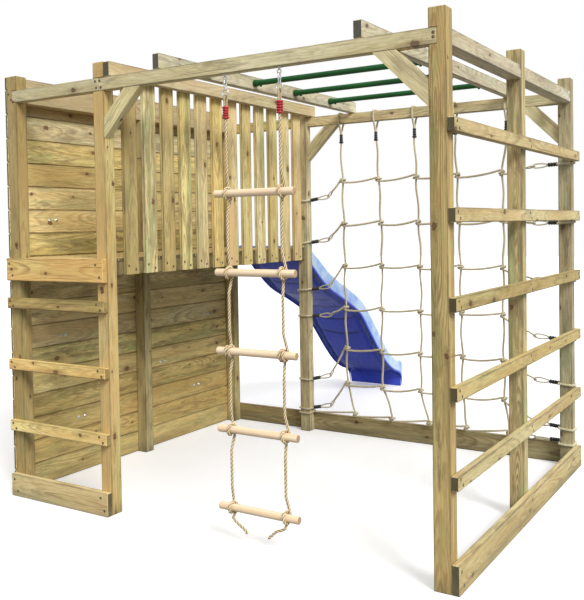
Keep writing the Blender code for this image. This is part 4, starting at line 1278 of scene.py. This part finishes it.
def wrap(x, z, inner, first, last, from_x, to_x):
    """Rope wound round a rung: angles go from the top over the back, x moves inwards."""
    points = []
    for share in np.linspace(0, 1, 27):
        angle = math.radians(first + (last - first) * share)
        across = from_x + (to_x - from_x) * (share * share * (3 - 2 * share))
        around, rise = ROUND * math.sin(angle), ROUND * math.cos(angle)
        points.append((x + inner * across, ladder_y + around, z + rise))
    return points


def passed(x, z, inner):
    """Down to a rung, round it, and straight down from it."""
    turns = wrap(x, z, inner, TOUCH, 540 - TOUCH, -0.0072, 0.0072)
    away = [(x, ladder_y, z - LEAVE), (x, ladder_y, z - LEAVE - 0.05)]
    return [(x, ladder_y, z + LEAVE), *turns, *away]


routes = {}
for side, place, inner in (("left", 1.395, 1), ("right", 1.675, -1)):
    x = spot(place, 0, 0).x
    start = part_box("ladder_hanger_" + side)[0].z - 0.047
    first, second, middle, fourth, last = rung_heights
    upper = [(x, ladder_y, start), (x, ladder_y, start - 0.12)]
    upper += passed(x, first, inner) + passed(x, second, inner)
    upper += [(x, ladder_y, middle + LEAVE)]
    upper += wrap(x, middle, inner, TOUCH, 350, -0.0078, -0.0070)
    lower = wrap(x, middle, inner, 40, 540 - TOUCH, 0.0075, 0.0070)
    lower += [(x, ladder_y, middle - LEAVE), *passed(x, fourth, inner)]
    lower += [(x, ladder_y, last + LEAVE)]
    lower += wrap(x, last, inner, TOUCH, 500, -0.0072, 0.0080)
    tail = [(x + across, ladder_y, last - 0.0249 + down) for across, down in TAILS[side]]
    lower += [tuple(point) for point in smooth_path(tail, 5)[4:]]
    routes[side] = {"upper": even_path(upper, 0.005), "lower": even_path(lower, 0.005)}

for side, route in routes.items():
    for level, path in route.items():
        name, body = f"ladder_rope_{level}_{side}", "ladder_" + level
        rope = make_rope(name + "_laid", [path], ROPE, LAY, ladder_rope_finish, [name], body)
        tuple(path[0])
        print(name, round(length_of(path), 3), "m")

# %% [markdown]
# ## The climbing net
# The net is laid rope, 14.4 mm thick over its strands. Five ropes hang from loops over
# the back beam, each closed by a black ferrule, and seven rows cross them. At every
# crossing the row winds round the hanging rope, so the knot is a real turn of rope and
# not a ball. Between knots a row sags: it arrives high on a knot and leaves low. At both
# ends a row ends in an eye, which hooks into the eye of a loop round the post, and a
# black clamp closes that one.

# %% Net routes
NET_ROPE, NET_Y, NET_LAY = 0.0072, 1.9775, 0.030
COLUMNS = [0.955 + 0.265 * number for number in range(5)]
ROWS = (1.697, 1.412, 1.132, 0.850, 0.579, 0.343, 0.145)
FOOT_STEPS = (0.060, 0.062, 0.050, 0.030, 0.020)
TOP_LEANS = (-0.036, -0.036, -0.036, -0.050, -0.015)
# way along X, edge and middle of the post, and the heights of its ties
SIDES_OF_NET = (
    (1, 0.690, 0.655, (1.573, 1.287, 0.965, 0.786, 0.3545, 0.157, 0.129)),
    (-1, 2.345, 2.380, (1.731, 1.395, 1.059, 0.723, 0.469, 0.215, 0.129)),
)
FERRULE_Z = 1.972
# One leg of a loop over the back beam: aside, away from the net and height
LOOP_LEG = (
    (0, 0.0040, 1.990), (0, 0.0045, 2.008), (0.002, 0.0228, 2.060), (0.004, 0.0288, 2.076),
    (0.005, 0.0288, 2.1025), (0.003, 0.0288, 2.131), (0.002, 0.0205, 2.1403),
)


def in_world(points):
    return [tuple(spot(*point)) for point in points]


def column_x(column, z):
    """A hanging rope leans a little, and more in its lowest cell."""
    lean = 0.004 * math.sin(1.9 * column + 4.2 * z) + 0.0045 * math.sin(23.0 * z + 2.3 * column)
    foot = max(0.0, (0.334 - z) / 0.189) ** 0.8 * FOOT_STEPS[column]
    top = max(0.0, z - 1.28) * TOP_LEANS[column]
    if column == 4:
        top += 0.14 * max(0.0, z - 1.70)
    return COLUMNS[column] + lean + foot + top


def row_turn(column, z):
    """One turn and a bit of a row round a hanging rope, from high to low."""
    x, around, points = column_x(column, z), 2 * NET_ROPE * 0.94, []
    for share in np.linspace(0, 1, 19):
        angle = math.radians(-120 + 420 * share)
        rise = 0.0125 - 0.025 * share
        points.append((x + around * math.cos(angle), NET_Y + around * math.sin(angle), z + rise))
    return points


def sagging(start, end, sag, count=9):
    """Points between two ends, hanging below the straight line."""
    points = []
    for step in range(1, count):
        share = step / count
        x, y, z = (a + (b - a) * share for a, b in zip(start, end))
        points.append((x, y, z - 4 * sag * share * (1 - share)))
    return points


def net_row(row):
    line = []
    for column in range(5):
        turns = row_turn(column, ROWS[row] - 0.004 * math.sin(2.6 * column + row))
        if column:
            sag = 0.010 + 0.004 * math.sin(3.1 * column + 1.7 * row)
            line += sagging(line[-1], turns[0], sag if row < 6 else 0.003)
        line += turns
    return line


print(len(ROWS), "rows and", len(COLUMNS), "columns")

# %% [markdown]
# ### Ties and loops of the net
# A loop of rope runs round each post at every row, and one hangs over the back beam for
# every column. A tie at a post has two eyes that go through one another crossways. Each is
# a closed curve round a direction, so both come from the same few lines of sines.

# %% Net ties and loops
def post_loop(post, tie, row):
    """A loop of rope round a square post, with rounded corners."""
    half, points = 0.035 + 0.0003 + NET_ROPE, []
    for angle in circle(48):
        c, s = math.cos(angle), math.sin(angle)
        size = half / max(abs(c), abs(s)) * (1 - 1.6 * (c * s) ** 4)
        points.append((post + c * size, 1.965 + s * size, tie + 0.004 * math.sin(angle + row)))
    return in_world(points + points[:1])


def unit(vector):
    return vector / np.linalg.norm(vector)


def side_tie(edge, way, tie, knot, up):
    """A clamp, the eye that it closes, the row's own eye and where the row leaves it."""
    heading = unit(np.array((knot[0] - edge, 0, (knot[2] - tie) * 0.28)))
    start = np.array((edge + way * 0.004, NET_Y - 0.002, tie))
    clamp = (start + heading * 0.006, start + heading * 0.062)
    across = np.array((0.0, math.sqrt(1 - up * up), up))
    across = unit(across - heading * across.dot(heading))
    eye, hook = [], []
    for angle in np.linspace(0, 2 * math.pi, 25):
        reach = 0.053 - 0.045 * math.cos(angle)
        spread = 0.0125 * math.sin(angle) * (1.0 - 0.25 * math.cos(angle))
        eye.append(clamp[1] - heading * 0.008 + heading * reach + across * spread)
    # The row's own eye goes through the tie's eye, crossways
    crossways, far = np.cross(heading, across), start + heading * 0.150
    rising, foot = unit(np.array(knot) - far), far - heading * 0.006
    for angle in np.linspace(0, 2 * math.pi, 21):
        reach = 0.020 - 0.026 * math.cos(angle)
        hook.append(foot + rising * reach + crossways * 0.0105 * math.sin(angle))
    return clamp, eye, hook, foot + rising * 0.046


def beam_loop(x):
    """The loop over the back beam, with its two legs drawn together."""
    near, far = (
        [(x + way * aside, NET_Y + way * away, z) for aside, away, z in LOOP_LEG]
        for way in (-1, 1)
    )
    return in_world([*near, (x, NET_Y, 2.1413), *far[::-1]])


ropes, loops, eyes, clamps = [], [], [], []
for row in range(7):
    line, lowest = net_row(row), row == 6
    for way, edge, post, ties in SIDES_OF_NET:
        loops.append(post_loop(post, ties[row], row))
        knot = line[0] if way == 1 else line[-1]
        if lowest and way == 1:
            more = [(edge + 0.010, NET_Y, ties[row])]
            more += sagging(more[0], knot, 0.002)
        else:
            tie, up = (ties[row] + 0.008, 0.10) if lowest else (ties[row], 0.94)
            clamp, eye, hook, neck = side_tie(edge, way, tie, knot, up)
            clamps.append(in_world(clamp))
            eyes += [in_world([*eye, eye[1]]), in_world([*hook, hook[1]])]
            more = [tuple(neck), *sagging(neck, knot, 0.006, 5)]
        line = [*more, *line] if way == 1 else [*line, *more[::-1]]
    ropes.append(in_world(line))
for column in range(5):
    line = []
    for z in np.linspace(1.962, ROWS[-1] - 0.012, 90):
        near = min(abs(z - row_z) for row_z in ROWS)
        bulge = 0.0022 * math.exp(-((near / 0.02) ** 2))
        line.append((column_x(column, z) + bulge, NET_Y, z))
    ropes.append(in_world(line))
    loops.append(beam_loop(column_x(column, FERRULE_Z)))
knots_of_net = []
for row, z in enumerate(ROWS):
    for column in range(5):
        x, slant = column_x(column, z), 0.9 + 0.5 * math.sin(2.1 * row + 1.3 * column)
        knot = []
        for angle in np.linspace(0, 2 * math.pi, 17):
            reach, y = 0.0175 * math.cos(angle), NET_Y + 0.0190 * math.sin(angle)
            knot.append((x + reach * math.sin(slant), y, z + reach * math.cos(slant) * 0.9))
        knots_of_net.append(in_world([*knot, knot[1]]))
print(len(ropes), "ropes,", len(loops), "loops,", len(eyes), "eyes and", len(clamps), "clamps")

# %% [markdown]
# ### Laying the net
# With every route known, the net is laid as four objects: the ropes, a turn of rope over
# each crossing, the loops, and the small eyes. The last three are a paler rope. The black
# ferrules are stacked discs, turned in the same way as the red ones of the ladder.

# %% Net
def make_net_rope(name, paths, bends, step, *rest):
    """Smooth and even out the paths, then lay a rope along each."""
    lines = [even_path(smooth_path(path, bends), step) for path in paths]
    return make_rope(name, lines, *rest)


def bell(share):
    return 0.86 + 0.34 * share ** 3


def between(shape, start, end):
    """A turned shape laid from one point towards another."""
    points, faces = shape
    turning = (end - start).to_track_quat("Z", "Y").to_matrix()
    return points @ np.array(turning.transposed()) + np.array((start + end) / 2), faces


net_colours = (0.98, 0.85, 0.70), (0.78, 0.655, 0.52), (0.30, 0.24, 0.17)
net_rope_finish = rope_finish("net_rope", *net_colours)
eye_rope_finish = rope_finish("net_eye_rope", (1.0, 0.93, 0.80), (0.88, 0.77, 0.62))
values = (NET_ROPE, NET_LAY, net_rope_finish, ["climbing_net"])
net = make_net_rope("climbing_net_look", ropes, 5, 0.005, *values)
for label, paths, bends, step, radius, lay in (
    ("knots", knots_of_net, 2, 0.004, NET_ROPE * 0.92, NET_LAY),
    ("loops", loops, 3, 0.004, NET_ROPE, NET_LAY),
    ("eyes", eyes, 3, 0.003, 0.0047, 0.024),
):
    make_net_rope("climbing_net_" + label, paths, bends, step, radius, lay, eye_rope_finish)
shapes = []
for clamp in clamps:
    start, end = (Vector(point) for point in clamp)
    profile = disc_profile((end - start).length, 0.0122, 0.0078, 4, lambda share: 1.0)
    shapes.append(between(turned(profile, 20), start, end))
for column in range(5):
    profile = disc_profile(0.062, 0.0128, 0.0080, 4, bell)
    place = spot(column_x(column, FERRULE_Z), NET_Y, FERRULE_Z)
    shapes.append(moved(turned(profile, 24), place))
mesh = joined("climbing_net_ferrules", shapes)
put("climbing_net_ferrules", mesh, black_plastic, "rope", (), "frame", True)
print("net", len(net.data.polygons), "faces,", len(shapes), "ferrules")

# %% [markdown]
# ## Screws, bolts and climbing holds
# Every board is fixed with a pair of countersunk screws, set on a slant so that the wood
# doesn't split. A screw head pulled into soft pine leaves dark bruising round it and sits
# in a countersink that holds shade, and from a few steps away that dark ring is all that
# is seen. So each screw is two turned shapes: a dark ring a hair above the wood, painted
# for the bruising and as painted shade of the countersink, and the head, whose cross
# recess is a flat dark cross of painted shade. The holds on the outside of the wall are
# bolted through, and their washers and nuts show on the inside.

# %% Screws
FRONT_BOARDS = ("left_rung_1", "left_rung_2", "left_rung_3", "left_base_board", "deck_fascia")
RIGHT_BOARDS = (*(f"right_rung_{number}" for number in range(1, 6)), "right_base_board")
POST_LINES = (0.035, 1.0, 1.965)
places = []


def add_pair(x, y, z, way, step, rise):
    """Two screws on a slant: a step along the board, and a rise across it."""
    for sign in (-1, 1):
        near, off = sign * step, sign * rise
        if way == "front":
            places.append(((x + near, y, z - off), way))
        elif way == "top":
            places.append(((x + near, y + off, z), way))
        else:
            places.append(((x, y + near, z - off), way))


for name in (*FRONT_BOARDS, *RIGHT_BOARDS):
    low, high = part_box(name)
    z, rise = (low.z + high.z) / 2, 0.013 if (high.z - low.z) < 0.08 else 0.030
    if name in FRONT_BOARDS:
        for x in (0.035, 0.655):
            add_pair(x, -0.0333, z, "front", 0.012, rise)
    else:
        for y in POST_LINES:
            add_pair(2.4483, y, z, "right", 0.012, rise)
for x, step in ((0.020, 0.010), (0.640, 0.003), (0.670, 0.003)):
    add_pair(x, 0.0, 2.1025, "front", step, 0.016)
add_pair(2.366, 0.0, 2.106, "front", 0.0, 0.0085)
for y in (0.0225, 1.9775):
    for x in (0.710, 1.020, 2.053):
        add_pair(x, y, 2.2073, "top", 0.008, 0.010)
for number in range(12):
    y = 0.07 + SLAT_START + SLAT_PITCH * number + SLAT_WIDTH / 2
    add_pair(0.690, y, 1.206, "right", 0.026, 0.010)
for number in range(DECK_BOARDS):
    y = (number + 0.5) * DECK_LENGTH / DECK_BOARDS
    for x in (0.024, 0.345, 0.650):
        if 0.075 < y < 1.92 and not (x < 0.1 and 0.95 < y < 1.05):
            add_pair(x, y, DECK_TOP, "top", 0.004, 0.026)
for number in range(17):
    for y in POST_LINES:
        add_pair(-0.0183, y, (number + 0.5) * WALL_PITCH, "left", 0.006, 0.030)


def faced(shape, place, way):
    """A turned shape standing on a face that looks to the front, the right, the left or up."""
    points, faces = shape
    x, y, z = points.T
    facing = {"front": (x, -z, y), "right": (z, x, y), "left": (-z, -x, y), "top": (x, y, z)}
    return np.stack(facing[way], axis=1) + np.array(tuple(spot(*place))), faces


# A dark ring a hair above the wood: painted bruising and painted shade of the countersink
bruising_and_shade_ring = turned([(0, 0.00045), (0.0056, 0.00045), (0.0070, 0.0001)], 16)
head = [(0, 0.0010), (0.0018, 0.0010), (0.0040, 0.0012), (0.0047, 0.0006), (0.0048, 0.0001)]
head = turned(head, 16)
# The cross recess is a flat dark cross, painted shade for the hollow in the head
slit = [(-0.0026, -0.0005), (0.0026, -0.0005), (0.0026, 0.0005), (-0.0026, 0.0005)]
slit = np.array([(x, y, 0.00125) for x, y in slit])
recess = [(slit, [(0, 1, 2, 3)]), (slit[:, (1, 0, 2)], [(3, 2, 1, 0)])]
bruising_and_shade_finish = ((0.10, 0.060, 0.026), (0.045, 0.028, 0.014), (0.7, 0.9), 0.0005, 0.6)
bruising_and_shade_finish = cloudy("screw_bruising_and_shade", 320.0, *bruising_and_shade_finish)
steel = ((0.30, 0.25, 0.15), (0.12, 0.10, 0.07), (0.35, 0.6), 0.0003, 0.5)
steel = cloudy("screw_steel", 300.0, *steel, metallic=0.8)
for name, shapes, finish, slot, smooth in (
    ("screw_bruising_and_shade_rings", [bruising_and_shade_ring], bruising_and_shade_finish, "pine", True),
    ("screw_heads", [head], steel, "zinc", True),
    ("screw_recesses", recess, bruising_and_shade_finish, "zinc", False),
):
    mesh = joined(name, [faced(shape, *place) for place in places for shape in shapes])
    put(name, mesh, finish, slot, smooth=smooth)
print(len(places), "screws")

# %% [markdown]
# ### Climbing holds
# A hold is cast resin with sand in it. Here it starts as a ball that is pushed flat against
# the wall, with a lip for the fingers and a dimple at each bolt. A formula does this, so
# that the six are alike without being the same.

# %% Climbing holds and their bolts
def hold_stone():
    """Cast resin with sand in it: speckled and gritty, paler on the faces that look up."""
    material = new_material("hold_stone")
    where = Node("TexCoord")
    place = where["Object"]
    grit = Node("TexVoronoi", {"Vector": place, "Scale": 420.0})["Color"]
    cloud, fine = noise(place, 24.0, 4.0), noise(place, 500.0, 3.0)
    facing_up = fade(split(where["Normal"])[2], 0.3, 0.9)
    colour = mix(fade(cloud, 0.3, 0.7), (0.44, 0.42, 0.37), (0.30, 0.28, 0.25))
    colour = mix(0.4, colour, grit, "MULTIPLY")
    colour = mix(facing_up * 0.4, colour, (0.60, 0.57, 0.51))
    return surface(material, colour, fade(fine, 0.3, 0.7, 0.7, 0.95), fine, 0.0012, 0.8)


def build_hold(name, number):
    """A ball flattened on the wall, with a lip for the fingers and two bolt holes."""
    low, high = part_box(name)
    middle, half = (low + high) / 2, (high - low) / 2
    work = bmesh.new()
    bmesh.ops.create_uvsphere(work, u_segments=48, v_segments=32, radius=1)
    for vert in work.verts:
        x, y, z = vert.co
        out = max(0.0, -x)
        lump = 1 + 0.05 * math.sin(5 * y + number) * math.sin(4 * z + 2 * number) * out
        lip = 0.16 * max(0.0, z) * (1 - x * x)
        finger = 0.10 * math.exp(-((z - 0.62) ** 2) / 0.03) * out * max(0.0, 1 - abs(y))
        bolt = min(math.hypot(y - 0.30, z + 0.10), math.hypot(y + 0.30, z + 0.10))
        dimple = 0.22 * math.exp(-((bolt / 0.13) ** 4)) * (out > 0.3)
        depth = max(0.0, out * lump - finger - dimple) * (high.x - low.x) * 0.97
        height = half.z * (0.80 * z - 0.17 * out * out + 0.08)
        vert.co = (high.x - depth, middle.y + y * half.y * 0.97 * (1 - lip), middle.z + height)
    bmesh.ops.remove_doubles(work, verts=work.verts, dist=0.00002)
    bmesh.ops.recalc_face_normals(work, faces=work.faces)
    return mesh_of(name, work), middle


stone = hold_stone()
bolts = []
washer = turned([(0, 0.0022), (0.0088, 0.0022), (0.0094, 0.0016), (0.0094, 0.0001)], 24)
nut = turned([(0, 0.0090), (0.0052, 0.0090), (0.0064, 0.0080), (0.0064, 0.0022)], 6)
end = turned([(0, 0.0125), (0.0026, 0.0125), (0.0032, 0.0118), (0.0032, 0.0090)], 14)
for number in range(1, 7):
    name = f"climbing_hold_{number}"
    mesh, middle = build_hold(name, number)
    put(name, mesh, stone, "hold_stone", [name], smooth=True)
    for step in (-0.024, 0.024):
        place = (-0.0003, middle.y - corner.y + step, middle.z - 0.004)
        bolts += [faced(shape, place, "right") for shape in (washer, nut, end)]
put("hold_bolts", joined("hold_bolts", bolts), zinc, "zinc")
print("six holds and", len(bolts) // 3, "bolts")

# %% [markdown]
# ## Floor, background and light
# The tower stands on plain white. A white floor under strong light would throw light up
# under every board, so the floor is white for the camera and greyer for the light that
# bounces off it. The world does the same: full white where the camera or a mirror sees
# it, and a softer white as light. A broad sun from the right makes the bright right sides
# of the posts.

# %% Floor and light
floor_mesh = bpy.data.meshes.new("floor")
floor_mesh.from_pydata([(-30, -30, 0), (30, -30, 0), (30, 30, 0), (-30, 30, 0)], [], [(0, 1, 2, 3)])
floor = linked("floor", floor_mesh)
floor.location = (0, 0, -0.0005)
floor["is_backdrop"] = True
material = new_material("floor")
path = Node("LightPath")
seen = mul_add(path["Is Glossy Ray"], 0.4, path["Is Camera Ray"])
values = {"Roughness": 1.0, "Specular IOR Level": 0.0, "Emission Color": (1, 1, 1)}
values["Base Color"] = mix(seen, (0.20, 0.20, 0.20), (0.86, 0.86, 0.86))
values["Emission Strength"] = seen * 0.26
for label, value in values.items():
    feed(material.node_tree.nodes["Principled BSDF"].inputs[label], value)
floor_mesh.materials.append(material)

WORLD_LIGHT = 0.78
studio = bpy.data.worlds.new("studio")
scene.world = studio
studio.use_nodes = True
trees.append(studio.node_tree)
path = Node("LightPath")
seen = calc("MAXIMUM", path["Is Camera Ray"], path["Is Glossy Ray"])
seen = calc("MAXIMUM", seen, path["Is Transmission Ray"])
background = studio.node_tree.nodes["Background"].inputs
feed(background["Color"], (1, 1, 1))
feed(background["Strength"], fade(seen, 0, 1, WORLD_LIGHT, 1.0))

sun_data = bpy.data.lights.new("key", "SUN")
sun_data.energy = 2.5
sun_data.angle = math.radians(22)
sun = linked("key", sun_data)
sun.rotation_euler = Vector((-0.74, 0.43, -0.70)).to_track_quat("-Z", "Y").to_euler()
print("sun", sun_data.energy, "world", WORLD_LIGHT)

# %% Bounds of what is shown
low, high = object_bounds()
